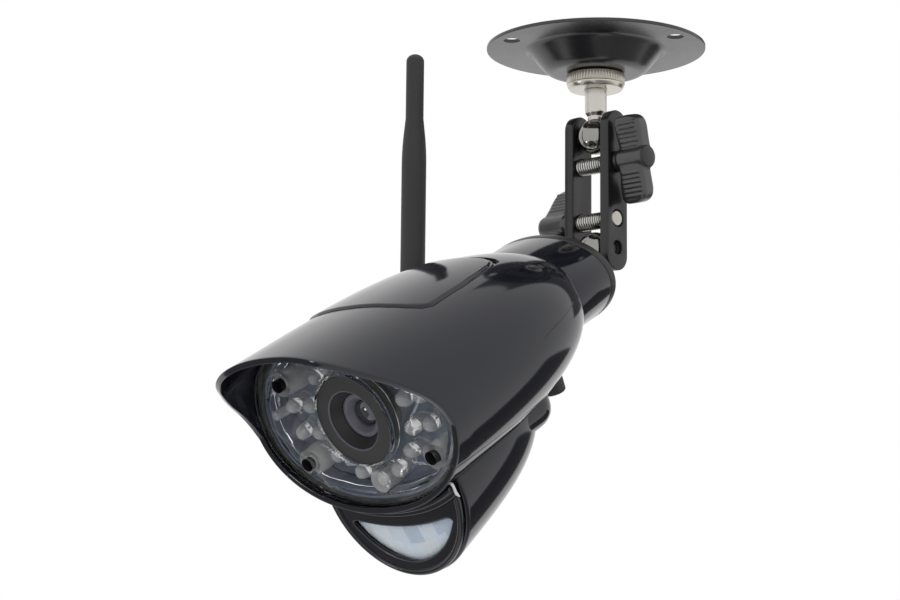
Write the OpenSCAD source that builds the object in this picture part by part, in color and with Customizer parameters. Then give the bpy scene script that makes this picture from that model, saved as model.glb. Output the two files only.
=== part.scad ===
// Wireless bullet security camera on a two-ball ceiling bracket.
// Origin: centre of the flange's upper mounting face. +Z up, camera heading -Y, X across the clamp plates.
// Camera pieces are placed by s (forward from the lens ring), x and h (up from the lens axis).

/* [Part] */
// which piece to draw

/* [Ceiling flange] */
// outside diameter of the pressed plate
flange_d = 75; // [60:1:100]
// sheet thickness
flange_t = 1.2; // [0.8:0.1:2]
// depth of the pressed dish
dish_depth = 9.4; // [6:0.1:14]
// dish diameter where it leaves the plate
dish_top_d = 47; // [40:0.5:56]
// dish diameter at its flat bottom
dish_bottom_d = 33; // [26:0.5:38]
// distance from the plate's rim to a screw hole's centre
hole_edge = 5.75; // [4:0.25:10]
// screw hole diameter
hole_d = 5.6; // [4:0.1:7]

/* [Bracket] */
// ball stud rod diameter
rod_d = 7.4; // [6:0.1:9]
// clamping ball diameter
ball_d = 12.4; // [10:0.1:14]
// drop from the mounting face to the upper ball centre
ball_drop = 31.4; // [28:0.1:40]
// distance between the two ball centres
ball_gap = 39.4; // [34:0.1:50]
// knurled lock nut diameter
nut_d = 20; // [16:0.5:24]
// knurled lock nut height
nut_h = 5.6; // [4:0.1:8]
// clamp plate width
plate_w = 10.4; // [9:0.1:14]
// clamp plate thickness
plate_t = 3.6; // [2:0.1:5]
// clear gap between the plates
plate_gap = 12.1; // [11:0.1:14]
// clamp plate length past each ball centre
plate_end = 7.8; // [6:0.1:10]
// distance from a ball centre to its clamp screw
screw_offset = 10; // [9:0.1:13]
// clamp screw diameter
screw_d = 5.8; // [4:0.1:6]
// knob length across both wings
knob_l = 30; // [24:0.5:36]
// knob wing thickness
knob_w = 4.4; // [3.5:0.1:7]
// knob hub diameter
knob_hub = 9; // [8:0.1:14]
// knob depth along its screw
knob_t = 10.6; // [8:0.1:14]
// turn of the upper knob away from upright
upper_knob_turn = 14; // [0:1:90]
// turn of the lower knob away from upright
lower_knob_turn = 35; // [0:1:90]

/* [Camera housing] */
// downward tilt of the camera
camera_pitch = 29.2; // [0:0.1:60]
// half width of the housing
half_w = 42.5; // [36:0.5:50]
// half height of the housing at the front
half_h = 30.3; // [26:0.1:36]
// housing wall
wall = 1.8; // [1.4:0.1:3]
// how far the hood reaches past the lens ring
hood_reach = 23.3; // [16:0.1:28]
// length of the housing behind the lens ring
body_back = 89.5; // [84:0.5:96]
// height of the split between the shells, from the lens axis
split_h = -16; // [-17:0.1:-13]
// half width of the rear collar
collar_half_w = 28.1; // [24:0.1:30]
// half height of the rear collar
collar_half_h = 16.4; // [14:0.1:18]
// distance from the lens ring to the collar's rear face
collar_back = 101.3; // [98:0.1:112]
// distance from the collar's rear face to the lower ball centre
stud_reach = 27.5; // [24:0.1:36]

/* [Front] */
// lens shroud outside diameter
shroud_d = 28.9; // [24:0.1:31]
// window thickness
pane_t = 2.2; // [1.5:0.1:3]
// infrared lamp diameter
led_d = 5; // [3:0.5:5]
// motion sensor pod radius
pod_r = 28; // [26:0.1:29]
// pairing button travel
button_travel = 0.6; // [0.3:0.1:1]

/* [Antenna] */
// thick sleeve diameter
sleeve_d = 8.5; // [7:0.1:10]
// thin end diameter
tip_d = 6.2; // [5:0.1:7]
// length above the fold hinge
whip_l = 91; // [70:0.5:120]
// distance from the housing's widest side to the antenna's centre line
antenna_out = 6.5; // [5:0.5:20]

/* [Hidden] */
$fn = 48;
eps = 0.01;
big = 200;
gap = 0.1;
running = 0.05;
hole_circle_d = flange_d - 2 * hole_edge;
nut_z = dish_depth + 0.1;
low_ball = ball_drop + ball_gap;
plate_mid = ball_drop + ball_gap / 2;
plate_x = plate_gap / 2;
hood_taper = 0.05;
stud_h = 2.9;
lens_f = collar_back + stud_reach;
side_n = 2.24;
low_n = 2.1;
dome_start = 4;
dome_pow = 3;
neck_d = rod_d - 2;
knob_stand = 2;
cap_d = 6.4;
wing_inset = 0.8;
wing_r = 4.6;
groove_n = 6;
groove_pitch = 1.5;
seat_d = 4.7;
rear_s = -collar_back;
cap_t = 3;
insert_d = 14;
insert_l = 9;
window_back = 1 - pane_t;
board_s = -11.7;
board_t = 1.6;
lamp_s = board_s + board_t;
boss_x = 26.6;
boss_h = 13.2;
boss_d = 8.4;
boss_bore = 4.2;
boss_floor = 1.4;
pillar_bore = 2.2;
led_l = 6.1;
sensor_l = 8.6;
sensor_h = -20.9;
main_s = -29;
antenna_x = -half_w - antenna_out;
antenna_h = 3;
// how far the antenna's axis lies behind the place where the housing's side meets the collar
socket_back = 2.8;
hinge_w = 3.6;
ear_t = 2.3;
knuckle_r = 4.2;
pod_back = 60;
pod_front = -5;
pod_h = -26;
pod_rise = 12;
lamp_spots = [[27.4, 5], [27.4, -4], [20, 4.6], [20, -4.4], [15.8, -12.1],
    [7.9, -18], [13.5, 13.8], [6.8, 16.6]];
rim_s = 2.2;
// hood edge: share of the reach against height
hood_edge = [[0, -3], [0.07, 1.7], [0.2, 6.9], [0.405, 12.3], [0.615, 17.6], [0.8, 22],
    [0.925, 25.8], [0.99, 28.6], [1, 36]];
panel_front = -13;
panel_back = -61;
panel_lift = 0.7;
panel_depth = 0.9;
collar_wall = 2.4;
collar_front = -72;
skirt_back = window_back - 3.6;
window_a = 37.6;
window_b = 25.2;
seal_t = 1.2;
pir_face = -3.4;
tail_h = -19.5;
// station, half width and half height of each slice
tail_slices = [[-36, 26, 11.5], [-51, 26, 11.5], [-56, 23, 9.5], [-60, 16, 6]];
jack_x = 15;
jack_s = -70.5;
jack_end = -24.5;
jack_d = 7.6;
button_x = 17;
socket_d = 6.3;
screw_spots = [[22, -37], [15, -54]];
screw_seat = -19;

// superellipse outline with half width a, half height b, centred at height c; n2 and b2 rule the
// lower half
function oval(a, b, c = 0, n = side_n, n2 = low_n, k = 56, b2 = 0) = [for (i = [0:k - 1])
    let (t = 360 * i / k, u = cos(t), v = sin(t), m = v < 0 ? n2 : n, q = v < 0 && b2 > 0 ? b2 : b)
    [a * sign(u) * pow(abs(u), 2 / m), c + q * sign(v) * pow(abs(v), 2 / m)]];

// body frame: origin at the lower ball, camera tilted down
module on_camera() translate([0, 0, -low_ball]) rotate([camera_pitch, 0, 0]) children();

// drawing plane across the camera at station s, seen so that +z runs forward
module at(s, x = 0, h = 0)
    translate([x, -(lens_f + s), h - stud_h]) rotate([90, 0, 0]) children();

module slab(s0, s1) at(s0) linear_extrude(s1 - s0) children();

// side outline given as [forward, up] points
module side(w, pts)
    translate([-w / 2, -lens_f, -stud_h]) rotate([90, 0, 90])
        linear_extrude(w) polygon([for (p = pts) [-p[0], p[1]]]);

// plan outline given as [x, forward] points, cut straight up through the camera
module plan(h0, h1, pts)
    translate([0, -lens_f, h0 - stud_h]) linear_extrude(h1 - h0) polygon([for (p = pts) [p[0], -p[1]]]);

function axis_h(s) = 0.3 - 0.04 * min(s, 0);
function swell(k) = pow(1 - pow(k, dome_pow), 1 / dome_pow);

// station where the housing's rear dome has narrowed to half width r
function dome_end(r) = -dome_start - (body_back - dome_start) * swell(r / (half_w + 2));
antenna_s = dome_end(collar_half_w) - socket_back;

// the housing's outer form, or an inner one with inset
module body_form(inset = 0, front = hood_reach + 4) {
    back = body_back - dome_start - inset;
    hull() {
        slab(front - eps, front)
            polygon(oval(half_w - front * hood_taper - inset, half_h - inset, axis_h(0)));
        for (k = [0, 0.22, 0.38, 0.5, 0.6, 0.7, 0.79, 0.87, 0.94, 0.985])
            let (s = -dome_start - k * back, g = swell(k))
                slab(s, s + eps) polygon(oval((half_w - 0.025 * s - inset) * g,
                    (half_h + 0.054 * s - inset) * g, axis_h(s),
                    b2 = (half_h + 0.03 * s - inset) * g));
    }
}

module collar_form(inset, s0, s1)
    slab(s0, s1) polygon(oval(collar_half_w - inset, collar_half_h - inset, stud_h, 2, 2, 72));

function pod_swell(k) = pow(1 - pow(k, 4), 0.25);

module pod_form(inset = 0, front = pod_front)
    hull() for (k = [0, 0.3, 0.5, 0.65, 0.78, 0.88, 0.95, 0.99])
        let (s = pod_front - k * (pod_back + pod_front - inset))
            at(k == 0 ? front - eps : s, 0, pod_h + pod_rise * k)
                linear_extrude(eps) circle(r = (pod_r - inset) * pod_swell(k));

module below(h) translate([-big / 2, -big, h - stud_h - big]) cube([big, big * 2, big]);
module above(h) translate([-big / 2, -big, h - stud_h]) cube([big, big * 2, big]);

// ---- bracket ----

module ceiling_flange() color([0.05, 0.05, 0.055]) {
    r0 = dish_top_d / 2;
    r1 = dish_bottom_d / 2;
    difference() {
        rotate_extrude($fn = 96) polygon([[rod_d / 2 + running, -dish_depth + flange_t],
            [r1 - 0.6, -dish_depth + flange_t], [r0 - 1.8, -flange_t], [r0 - 1, 0],
            [flange_d / 2, 0], [flange_d / 2, -flange_t], [r0 + 0.6, -flange_t],
            [r0 - 0.6, -flange_t - 0.8], [r1, -dish_depth], [rod_d / 2 + running, -dish_depth]]);
        for (a = [0:120:240]) rotate(a + 7) translate([hole_circle_d / 2, 0, -flange_t - 1])
            cylinder(d = hole_d, h = flange_t + 2);
    }
}

module flange_nut() color([0.7, 0.7, 0.68])
    translate([0, 0, -dish_depth + flange_t]) difference() {
        union() {
            cylinder(d = 14, h = 1);
            cylinder(d = 13, h = 5, $fn = 6);
        }
        translate([0, 0, -1]) cylinder(d = rod_d + 2 * running, h = 8);
    }

module stem() color([0.8, 0.8, 0.78]) {
    rotate_extrude() polygon([[0, -1.5], [rod_d / 2 - 0.5, -1.5], [rod_d / 2, -2],
        [rod_d / 2, -ball_drop + ball_d / 2 + 2.2], [neck_d / 2, -ball_drop + ball_d / 2 + 1],
        [neck_d / 2, -ball_drop + ball_d / 2 - 1.5], [0, -ball_drop + ball_d / 2 - 1.5]]);
    translate([0, 0, -ball_drop]) sphere(d = ball_d, $fn = 64);
}

// knurled nut, knurl towards +z, chamfered face at -z
module knurled_nut(h) difference() {
    rotate_extrude($fn = 96) polygon([[0, 0], [nut_d / 2 - 0.4, 0], [nut_d / 2, -0.4],
        [nut_d / 2, -h + 1.4], [nut_d / 2 - 0.3, -h + 1.1], [nut_d / 2 - 1, -h], [0, -h]]);
    translate([0, 0, -h - 1]) cylinder(d = rod_d + 2 * running, h = h + 2);
}

module stem_lock_nut() color([0.75, 0.73, 0.68]) translate([0, 0, -nut_z]) knurled_nut(nut_h);

module clamp_plate(sgn) {
    x0 = sgn > 0 ? plate_x : -plate_x - plate_t;
    difference() {
        translate([x0, 0, 0]) rotate([90, 0, 90]) linear_extrude(plate_t) {
            for (z = [ball_drop, low_ball]) translate([0, -z]) circle(d = plate_w);
            translate([-plate_w / 2, -low_ball - plate_end + plate_w / 2])
                square([plate_w, ball_gap + 2 * plate_end - plate_w]);
            for (z = [ball_drop - plate_end + plate_w / 2, low_ball + plate_end - plate_w / 2])
                translate([0, -z]) circle(d = plate_w);
        }
        for (z = [ball_drop, low_ball]) translate([x0 - 1, 0, -z]) rotate([0, 90, 0])
            cylinder(d = seat_d, h = sgn > 0 && z == ball_drop ? 1 + plate_t / 2 : plate_t + 2);
        for (z = [ball_drop + screw_offset, low_ball - screw_offset])
            translate([x0 - 1, 0, -z]) rotate([0, 90, 0])
                cylinder(d = screw_d + 2 * running, h = plate_t + 2);
    }
}

module clamp_plate_left() color([0.06, 0.06, 0.065]) clamp_plate(-1);
module clamp_plate_right() color([0.06, 0.06, 0.065]) clamp_plate(1);

// screw along X whose knob end points to side sgn
module clamp_screw(sgn, z) translate([0, 0, -z]) rotate([0, sgn * 90, 0])
    translate([0, 0, -plate_x - plate_t + 0.2])
        cylinder(d = screw_d, h = plate_gap + 2 * plate_t + 4.8);

module upper_screw() color([0.75, 0.74, 0.7]) clamp_screw(1, ball_drop + screw_offset);
module lower_screw() color([0.75, 0.74, 0.7]) clamp_screw(-1, low_ball - screw_offset);

// one wing along +x, near the hub's -y side, grooved on both faces
module knob_wing() {
    y0 = wing_inset - knob_hub / 2;
    tip = (knob_l - knob_w) / 2;
    difference() {
        union() {
            translate([0, y0]) square([tip, knob_w]);
            translate([tip, y0 + knob_w / 2]) circle(d = knob_w);
        }
        for (i = [0:groove_n - 1], y = [y0 - 0.1, y0 + knob_w + 0.1])
            translate([tip + 0.4 - i * groove_pitch, y]) circle(d = 0.9, $fn = 16);
    }
}

// two-winged hand knob standing on the plate's outer face
module knob(sgn, z, turn) translate([0, 0, -z]) rotate([0, sgn * 90, 0])
    translate([0, 0, plate_x + plate_t + gap]) rotate(turn) difference() {
        union() {
            rotate_extrude() polygon([[0, 0], [3.6, 0], [3.6, knob_stand], [knob_hub / 2, knob_stand],
                [knob_hub / 2, knob_stand + knob_t - 2.5], [knob_hub / 2 - 0.9, knob_stand + knob_t],
                [0, knob_stand + knob_t]]);
            intersection() {
                translate([0, 0, knob_stand]) linear_extrude(knob_t)
                    for (a = [0, 180]) rotate(a) knob_wing();
                rotate([90, 0, 0]) translate([0, knob_stand, -knob_l / 2])
                    linear_extrude(knob_l) for (m = [0, 1]) mirror([m, 0]) {
                        square([knob_l / 2 - wing_r, knob_t]);
                        translate([0, wing_r]) square([knob_l / 2, knob_t - 2 * wing_r]);
                        for (y = [wing_r, knob_t - wing_r])
                            translate([knob_l / 2 - wing_r, y]) circle(wing_r);
                    }
            }
        }
        translate([0, 0, -1]) cylinder(d = screw_d + 0.1, h = 6);
        translate([0, 0, knob_stand + knob_t - 1]) cylinder(d = cap_d + 0.1, h = 2);
    }

module upper_knob() color([0.05, 0.05, 0.05]) knob(1, ball_drop + screw_offset, upper_knob_turn);
module lower_knob() color([0.05, 0.05, 0.05])
    knob(-1, low_ball - screw_offset, lower_knob_turn);

// domed plug closing the knob's outer end
module knob_cap(sgn, z) translate([0, 0, -z]) rotate([0, sgn * 90, 0])
    translate([0, 0, plate_x + plate_t + gap + knob_stand + knob_t - 1])
        rotate_extrude() polygon(concat([[0, 0], [cap_d / 2, 0]],
            [for (a = [0:15:90]) [cap_d / 2 * cos(a), 1.1 + 1.2 * sin(a)]]));

module upper_cap() color([0.09, 0.09, 0.09]) knob_cap(1, ball_drop + screw_offset);
module lower_cap() color([0.09, 0.09, 0.09]) knob_cap(-1, low_ball - screw_offset);

// ---- stud and rear of the camera ----

module on_stud() on_camera() rotate([90, 0, 0]) children();

module camera_stud() color([0.8, 0.8, 0.78]) on_stud() {
    rotate_extrude() polygon([[0, ball_d / 2 - 1.5], [neck_d / 2, ball_d / 2 - 1.5],
        [neck_d / 2, ball_d / 2 + 1], [rod_d / 2, ball_d / 2 + 2.2],
        [rod_d / 2, stud_reach + insert_l - 1], [0, stud_reach + insert_l - 1]]);
    sphere(d = ball_d, $fn = 64);
}

module camera_lock_nut() color([0.75, 0.73, 0.68]) on_stud()
    translate([0, 0, stud_reach - gap]) knurled_nut(nut_h);

module stud_bore(d) on_stud() translate([0, 0, stud_reach - 1]) cylinder(d = d, h = insert_l + 6);

module stud_insert() color([0.72, 0.6, 0.3]) difference() {
    on_stud() translate([0, 0, stud_reach]) {
        cylinder(d = insert_d, h = insert_l);
        translate([0, 0, cap_t]) cylinder(d = insert_d + 3, h = 2, $fn = 6);
    }
    stud_bore(rod_d + 2 * running);
}

module rear_cap() color([0.03, 0.03, 0.035]) difference() {
    on_camera() {
        collar_form(0.7, rear_s, rear_s + 0.7);
        collar_form(0, rear_s + 0.7, rear_s + cap_t);
    }
    on_stud() translate([0, 0, stud_reach - 1]) cylinder(d = insert_d + gap, h = cap_t + 2);
    on_camera() at(rear_s - 1, button_x, stud_h) cylinder(d = 5.2, h = cap_t + 2);
}

module on_socket() on_camera()
    translate([0, -(lens_f + antenna_s), antenna_h - stud_h]) rotate([0, -90, 0]) children();

module rear_collar() color([0.02, 0.02, 0.025]) difference() {
    on_camera() difference() {
        collar_form(0, rear_s + cap_t, collar_front);
        collar_form(collar_wall, rear_s + cap_t - 1, collar_front + 1);
        jack_hole();
    }
    on_socket() translate([0, 0, collar_half_w - 6]) cylinder(d = socket_d, h = 10);
}

module pairing_button() color([0.12, 0.12, 0.12]) on_camera() at(rear_s - 0.9, button_x, stud_h) {
    cylinder(d = 5, h = cap_t + 1.6);
    translate([0, 0, cap_t + 0.9 + gap]) cylinder(d = 7, h = 0.8);
}

module button_switch() color([0.1, 0.3, 0.14]) {
    front = rear_s + cap_t + 1 + button_travel;
    on_camera() {
        at(front, button_x, stud_h) cylinder(d = 3, h = 1.5);
        at(front + 1, button_x - 3, stud_h - 3) cube([6, 6, 3]);
        at(front + 3.9, button_x - 4, stud_h - 7) cube([8, 14, 1.6]);
    }
}

// ---- housing ----

function panel_points(g) = let (h = [[26.5 - g, panel_front - 8], [25.6 - g, panel_front - 24],
    [24 - g, panel_front - 35], [22.4 - g, panel_back + 5 + g], [19.5 - g, panel_back + 1 + g],
    [16 - g, panel_back + g]], f = [[0, panel_front - g], [8, panel_front - 0.3 - g],
    [15, panel_front - 1 - g], [21, panel_front - 2.7 - g], [25 - g, panel_front - 5 - g]])
    concat(f, h, [for (i = [5:-1:0]) [-h[i][0], h[i][1]]], [for (i = [4:-1:1]) [-f[i][0], f[i][1]]]);

// blocks around the shell screws, reaching out sideways by l
module shell_bosses(h0, h1, l) for (p = screw_spots, m = [0, 1]) mirror([m, 0, 0])
    translate([p[0] - 4, -(lens_f + p[1]) - 4, h0 - stud_h]) cube([l, 8, h1 - h0]);

module shell_screw_holes(h0, h1, d) for (p = screw_spots, m = [-1, 1])
    translate([m * p[0], -(lens_f + p[1]), h0 - stud_h]) cylinder(d = d, h = h1 - h0);

module at_jack(h) translate([jack_x, -(lens_f + jack_s), h - stud_h]) children();
module jack_hole() at_jack(-40) cylinder(d = jack_d + 1, h = 29);

module upper_shell() color([0.02, 0.02, 0.025]) on_camera() difference() {
    body_form();
    difference() {
        body_form(wall, hood_reach + 8);
        shell_bosses(split_h, -8, half_w);
    }
    below(split_h);
    side(big, concat([[rim_s, split_h - 30]],
        [for (p = hood_edge) [rim_s + (hood_reach - rim_s) * p[0], p[1]]],
        [[hood_reach, 50], [60, 50], [60, split_h - 30]]));
    difference() {
        plan(10, 60, panel_points(0));
        body_form(panel_depth);
    }
    collar_form(-gap, rear_s - 5, collar_front + 5);
    shell_screw_holes(split_h - 1, -9.5, 3);
    jack_hole();
}

module top_panel() color([0.02, 0.02, 0.025]) on_camera() difference() {
    intersection() {
        body_form(-panel_lift);
        plan(10, 60, panel_points(0.2));
    }
    body_form(panel_depth);
}

// block under the lower shell's rear, from inside the pod to its own rounded end
module tail_form(g) hull() for (t = tail_slices)
    slab(t[0] - g, t[0] + eps) polygon(oval(t[1] + g, t[2] + g, tail_h, 3, 3, 40));

module lower_shell() color([0.02, 0.02, 0.025]) on_camera() difference() {
    union() {
        body_form();
        tail_form(0);
    }
    difference() {
        body_form(wall, hood_reach + 8);
        shell_bosses(-40, split_h, 8);
    }
    above(split_h - gap);
    at(rim_s, -big / 2, -big / 2) cube(big);
    shell_screw_holes(-40, split_h, 3.2);
    shell_screw_holes(-40, screw_seat, 6);
    jack_hole();
    translate([-6, -(lens_f - 30), -34 - stud_h]) cube([12, 8, 12]);
}

module shell_screws() color([0.6, 0.6, 0.6]) on_camera() {
    shell_screw_holes(screw_seat - 1.2, screw_seat, 5.4);
    shell_screw_holes(screw_seat - eps, -10, 2.8);
}

module pod_housing() color([0.02, 0.02, 0.025]) on_camera() difference() {
    union() {
        difference() {
            pod_form();
            pod_form(2, pod_front + 6);
        }
        slab(-26.2, -24.2) translate([0, pod_h + 4.5]) difference() {
            circle(r = pod_r - 1.6);
            translate([0, -15]) square([14, 8], center = true);
        }
    }
    body_form(-gap);
    tail_form(gap);
}

module pir_outline(g) difference() {
    polygon(oval(21.6 + g, 16.7 + g, -32, 1.7, 1.7, 48));
    translate([0, 40.6]) circle(r = 77.8 - g, $fn = 120);
}

module rim_oval(g) polygon(oval(half_w + g, half_h + g, axis_h(0)));

module pod_bezel() color([0.025, 0.025, 0.03]) on_camera() difference() {
    union() {
        slab(pod_front, pir_face) translate([0, pod_h]) circle(r = pod_r, $fn = 96);
        slab(pir_face - eps, pir_face + 1) translate([0, pod_h]) difference() {
            circle(r = pod_r - 0.7, $fn = 96);
            circle(r = pod_r - 3, $fn = 96);
        }
        slab(pir_face - eps, pir_face + 2.2) intersection() {
            translate([0, pod_h]) circle(r = pod_r - 0.7, $fn = 96);
            rim_oval(2.6);
        }
    }
    slab(pod_front - 1, rim_s + 5) rim_oval(gap);
    slab(pod_front - 1, rim_s + 5) pir_outline(0);
}

module pir_lens() color([0.86, 0.89, 0.94]) on_camera()
    slab(pod_front - 1.4, pod_front) pir_outline(1.4);

module pir_board() color([0.08, 0.28, 0.14]) on_camera()
    at(-24.2, -10, -43) cube([20, 11.5, 1.6]);

module pir_sensor() color([0.75, 0.75, 0.72]) on_camera() at(-22.6, 0, -37.4) {
    cylinder(d = 9.2, h = 0.8);
    cylinder(d = 8.2, h = 4.2);
}

module power_jack() color([0.05, 0.05, 0.05]) on_camera() at_jack(-16) {
    translate([-4, -6.5, 4.8]) cube([8, 7.8, 9]);
    cylinder(d = jack_d, h = 5);
}

module jack_boot() color([0.04, 0.04, 0.04]) on_camera() at_jack(0) rotate_extrude()
    polygon([[0, jack_end], [3, jack_end], [3.5, jack_end + 0.6], [3.9, -17], [3.9, -16], [0, -16]]);

// ---- front ----

function window_oval(g) = oval(window_a + g, window_b + g, 0, 2.15, 2.15);
function frame_oval(g) = oval(half_w - wall - 0.5 + g, half_h - wall - 1.1 + g, axis_h(0) + 0.3);

module window_frame() color([0.05, 0.05, 0.055]) on_camera() difference() {
    slab(lamp_s, window_back - seal_t) polygon(frame_oval(0));
    slab(lamp_s - 1, window_back) polygon(window_oval(0));
}

module window_gasket() color([0.03, 0.03, 0.03]) on_camera()
    slab(window_back - seal_t, window_back) difference() {
        polygon(frame_oval(0));
        polygon(window_oval(0.8));
    }

module at_bosses() for (m = [-1, 1], n = [-1, 1]) translate([m * boss_x, n * boss_h]) children();

module front_window() color([0.9, 0.95, 1, 0.25]) on_camera() difference() {
    union() {
        slab(window_back, window_back + pane_t)
            polygon(oval(half_w - wall - 0.2, half_h - wall - 0.5, axis_h(0)));
        slab(skirt_back, window_back + eps) difference() {
            polygon(window_oval(-0.3));
            polygon(window_oval(-1.3));
        }
        slab(skirt_back + 1, window_back + eps) circle(d = shroud_d + 2, $fn = 96);
        slab(lamp_s, window_back + eps) at_bosses() circle(d = boss_d);
    }
    slab(lamp_s - 1, rim_s + 5) circle(d = shroud_d + 0.4, $fn = 96);
    slab(lamp_s + boss_floor, rim_s + 5) at_bosses() circle(d = boss_bore);
    slab(lamp_s - 1, rim_s + 5) at_bosses() circle(d = pillar_bore);
    slab(skirt_back - 1, window_back) translate([0, sensor_h]) circle(r = 4);
}

module window_screws() color([0.3, 0.3, 0.3]) on_camera() {
    slab(lamp_s + boss_floor, lamp_s + boss_floor + 1.6) at_bosses() circle(d = boss_bore - 0.4);
    slab(board_s - 5, lamp_s + boss_floor + eps) at_bosses() circle(d = pillar_bore - 0.2);
}

module led_board() color([0.17, 0.21, 0.25]) on_camera() slab(board_s, lamp_s) difference() {
    polygon(frame_oval(-1.8));
    circle(d = 15.4);
    at_bosses() circle(d = pillar_bore + 0.2);
}

// lamp can with a rounded end: radius r, straight part l long, foot rim wider by f
module lamp(r, l, f) rotate_extrude($fn = 32)
    polygon(concat([[0, 0], [r + f, 0], [r + f, 1], [r, 1]],
        [for (a = [0:15:90]) [r * cos(a), l + r * sin(a)]]));

module ir_lamps() color([0.85, 0.9, 0.95, 0.5]) on_camera()
    for (p = lamp_spots, m = [-1, 1]) at(lamp_s, m * p[0], p[1]) lamp(led_d / 2, led_l, 0.4);

module light_sensor() color([0.9, 0.9, 0.88, 0.6]) on_camera() at(lamp_s, 0, sensor_h) rotate_extrude()
    polygon([[0, 0], [3.7, 0], [3.7, sensor_l - 0.6], [3.1, sensor_l], [0, sensor_l]]);

module status_pipe() color([0.9, 0.95, 1, 0.5]) on_camera() at(lamp_s, -34.3, 3)
    cylinder(d = 3, h = window_back - lamp_s - 0.2);

module lens_shroud() color([0.03, 0.03, 0.03]) on_camera() at(0) rotate_extrude($fn = 96)
    polygon([[shroud_d / 2, 0.4], [shroud_d / 2, -1.6], [10.4, -1.6], [10.4, lamp_s],
        [9, lamp_s], [9, -4.4], [7.1, -4.4], [7.1, -3.2], [9.4, -0.2], [9.4, 0.4]]);

module lens_barrel() color([0.12, 0.12, 0.13]) on_camera() at(0) rotate_extrude()
    polygon([[7, -3.3], [7, -16], [6, -16], [6, -24], [3, -24], [3, -9], [4.3, -9],
        [4.3, -5.2], [5.8, -3.3]]);

module lens_glass() color([0.35, 0.38, 0.42, 0.6]) on_camera() at(-9) rotate_extrude()
    polygon([[0, 0], [4.25, 0], [4.25, 2.6], [3.4, 3.3], [2.2, 3.9], [1, 4.2], [0, 4.3]]);

module lens_mount() color([0.04, 0.04, 0.04]) on_camera() difference() {
    at(main_s, -8, -8) cube([16, 16, 12.9]);
    at(main_s + 1.8) cylinder(d = 12.1, h = 20);
    at(main_s - 1, -5, -5) cube([10, 10, 2.9]);
}

module image_sensor() color([0.2, 0.22, 0.2]) on_camera() at(main_s, -4.5, -4.5) cube([9, 9, 1.2]);

module main_board() color([0.08, 0.28, 0.14]) on_camera() difference() {
    at(main_s - 1.6, -29.5, -15.5) cube([59, 34, 1.6]);
    slab(main_s - 3, main_s + 1) at_bosses() circle(d = pillar_bore + 0.2);
}

module radio_shield() color([0.7, 0.7, 0.72]) on_camera()
    at(main_s - 4.8, -24, -6) cube([24, 16, 3.2]);

module board_carrier() color([0.1, 0.1, 0.1]) on_camera() difference() {
    union() {
        slab(main_s, board_s) at_bosses() circle(d = 6.4);
        slab(-18.4, -16.8) difference() {
            polygon(oval(33, 20.5, 0.5));
            circle(d = 24);
        }
    }
    slab(main_s - 0.5, board_s + 1) at_bosses() circle(d = pillar_bore);
}

// ---- antenna ----

hinge_f = lens_f + antenna_s;
hinge_up = antenna_h - stud_h;
module at_hinge() translate([antenna_x,
    -hinge_f * cos(camera_pitch) - hinge_up * sin(camera_pitch),
    -low_ball - hinge_f * sin(camera_pitch) + hinge_up * cos(camera_pitch)]) children();

module antenna_socket() color([0.7, 0.6, 0.35]) on_socket() {
    translate([0, 0, collar_half_w - 6]) cylinder(d = socket_d + 1.2, h = 1.6);
    translate([0, 0, collar_half_w - 5]) cylinder(d = socket_d - 0.1, h = 13);
    translate([0, 0, collar_half_w + running]) cylinder(d = 7.6, h = 2, $fn = 6);
}

module antenna_elbow() color([0.05, 0.05, 0.05]) at_hinge() {
    neck = -antenna_x - collar_half_w - 2.4;
    difference() {
        union() {
            translate([5.4, 0, 0]) rotate([0, 90, 0]) cylinder(d = 9.2, h = neck - 5.4);
            for (m = [-1, 1]) translate([0, m * (hinge_w / 2 + running + ear_t / 2), 0]) {
                rotate([90, 0, 0]) cylinder(r = knuckle_r, h = ear_t, center = true);
                translate([0, -ear_t / 2, -knuckle_r]) cube([6.4, ear_t, 2 * knuckle_r]);
            }
        }
        translate([neck - 7, 0, 0]) rotate([0, 90, 0]) cylinder(d = socket_d, h = 8);
        translate([-6, -hinge_w / 2 - running, -6]) cube([11.4, hinge_w + 2 * running, 12]);
    }
    rotate([90, 0, 0]) cylinder(d = 2.4, h = hinge_w + 2 * ear_t, center = true);
}

module antenna_whip() color([0.03, 0.03, 0.03]) at_hinge() {
    difference() {
        union() {
            rotate([90, 0, 0]) cylinder(r = knuckle_r - 0.3, h = hinge_w, center = true);
            translate([-knuckle_r + 0.3, -hinge_w / 2, 0])
                cube([2 * knuckle_r - 0.6, hinge_w, 6.5]);
        }
        rotate([90, 0, 0]) cylinder(d = 2.4 + 2 * running, h = hinge_w + 2, center = true);
    }
    rotate_extrude() polygon(concat([[0, 5.8], [sleeve_d / 2 - 0.4, 5.8], [sleeve_d / 2, 6.2],
        [sleeve_d / 2, 0.63 * whip_l], [tip_d / 2, 0.75 * whip_l]],
        [for (a = [0:15:90]) [tip_d / 2 * cos(a), whip_l - tip_d / 2 * (1 - sin(a))]]));
}

ceiling_flange();
flange_nut();
stem();
stem_lock_nut();
clamp_plate_left();
clamp_plate_right();
upper_screw();
lower_screw();
upper_knob();
lower_knob();
upper_cap();
lower_cap();
camera_stud();
camera_lock_nut();
upper_shell();
top_panel();
rear_collar();
rear_cap();
stud_insert();
lower_shell();
window_frame();
front_window();
window_gasket();
window_screws();
led_board();
ir_lamps();
light_sensor();
status_pipe();
lens_shroud();
lens_barrel();
lens_glass();
lens_mount();
image_sensor();
main_board();
radio_shield();
board_carrier();
pod_housing();
pod_bezel();
pir_lens();
pir_board();
pir_sensor();
power_jack();
jack_boot();
pairing_button();
button_switch();
antenna_socket();
antenna_elbow();
antenna_whip();
shell_screws();
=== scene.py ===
from math import asin, cos, hypot, pi, radians, sin, sqrt

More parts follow.
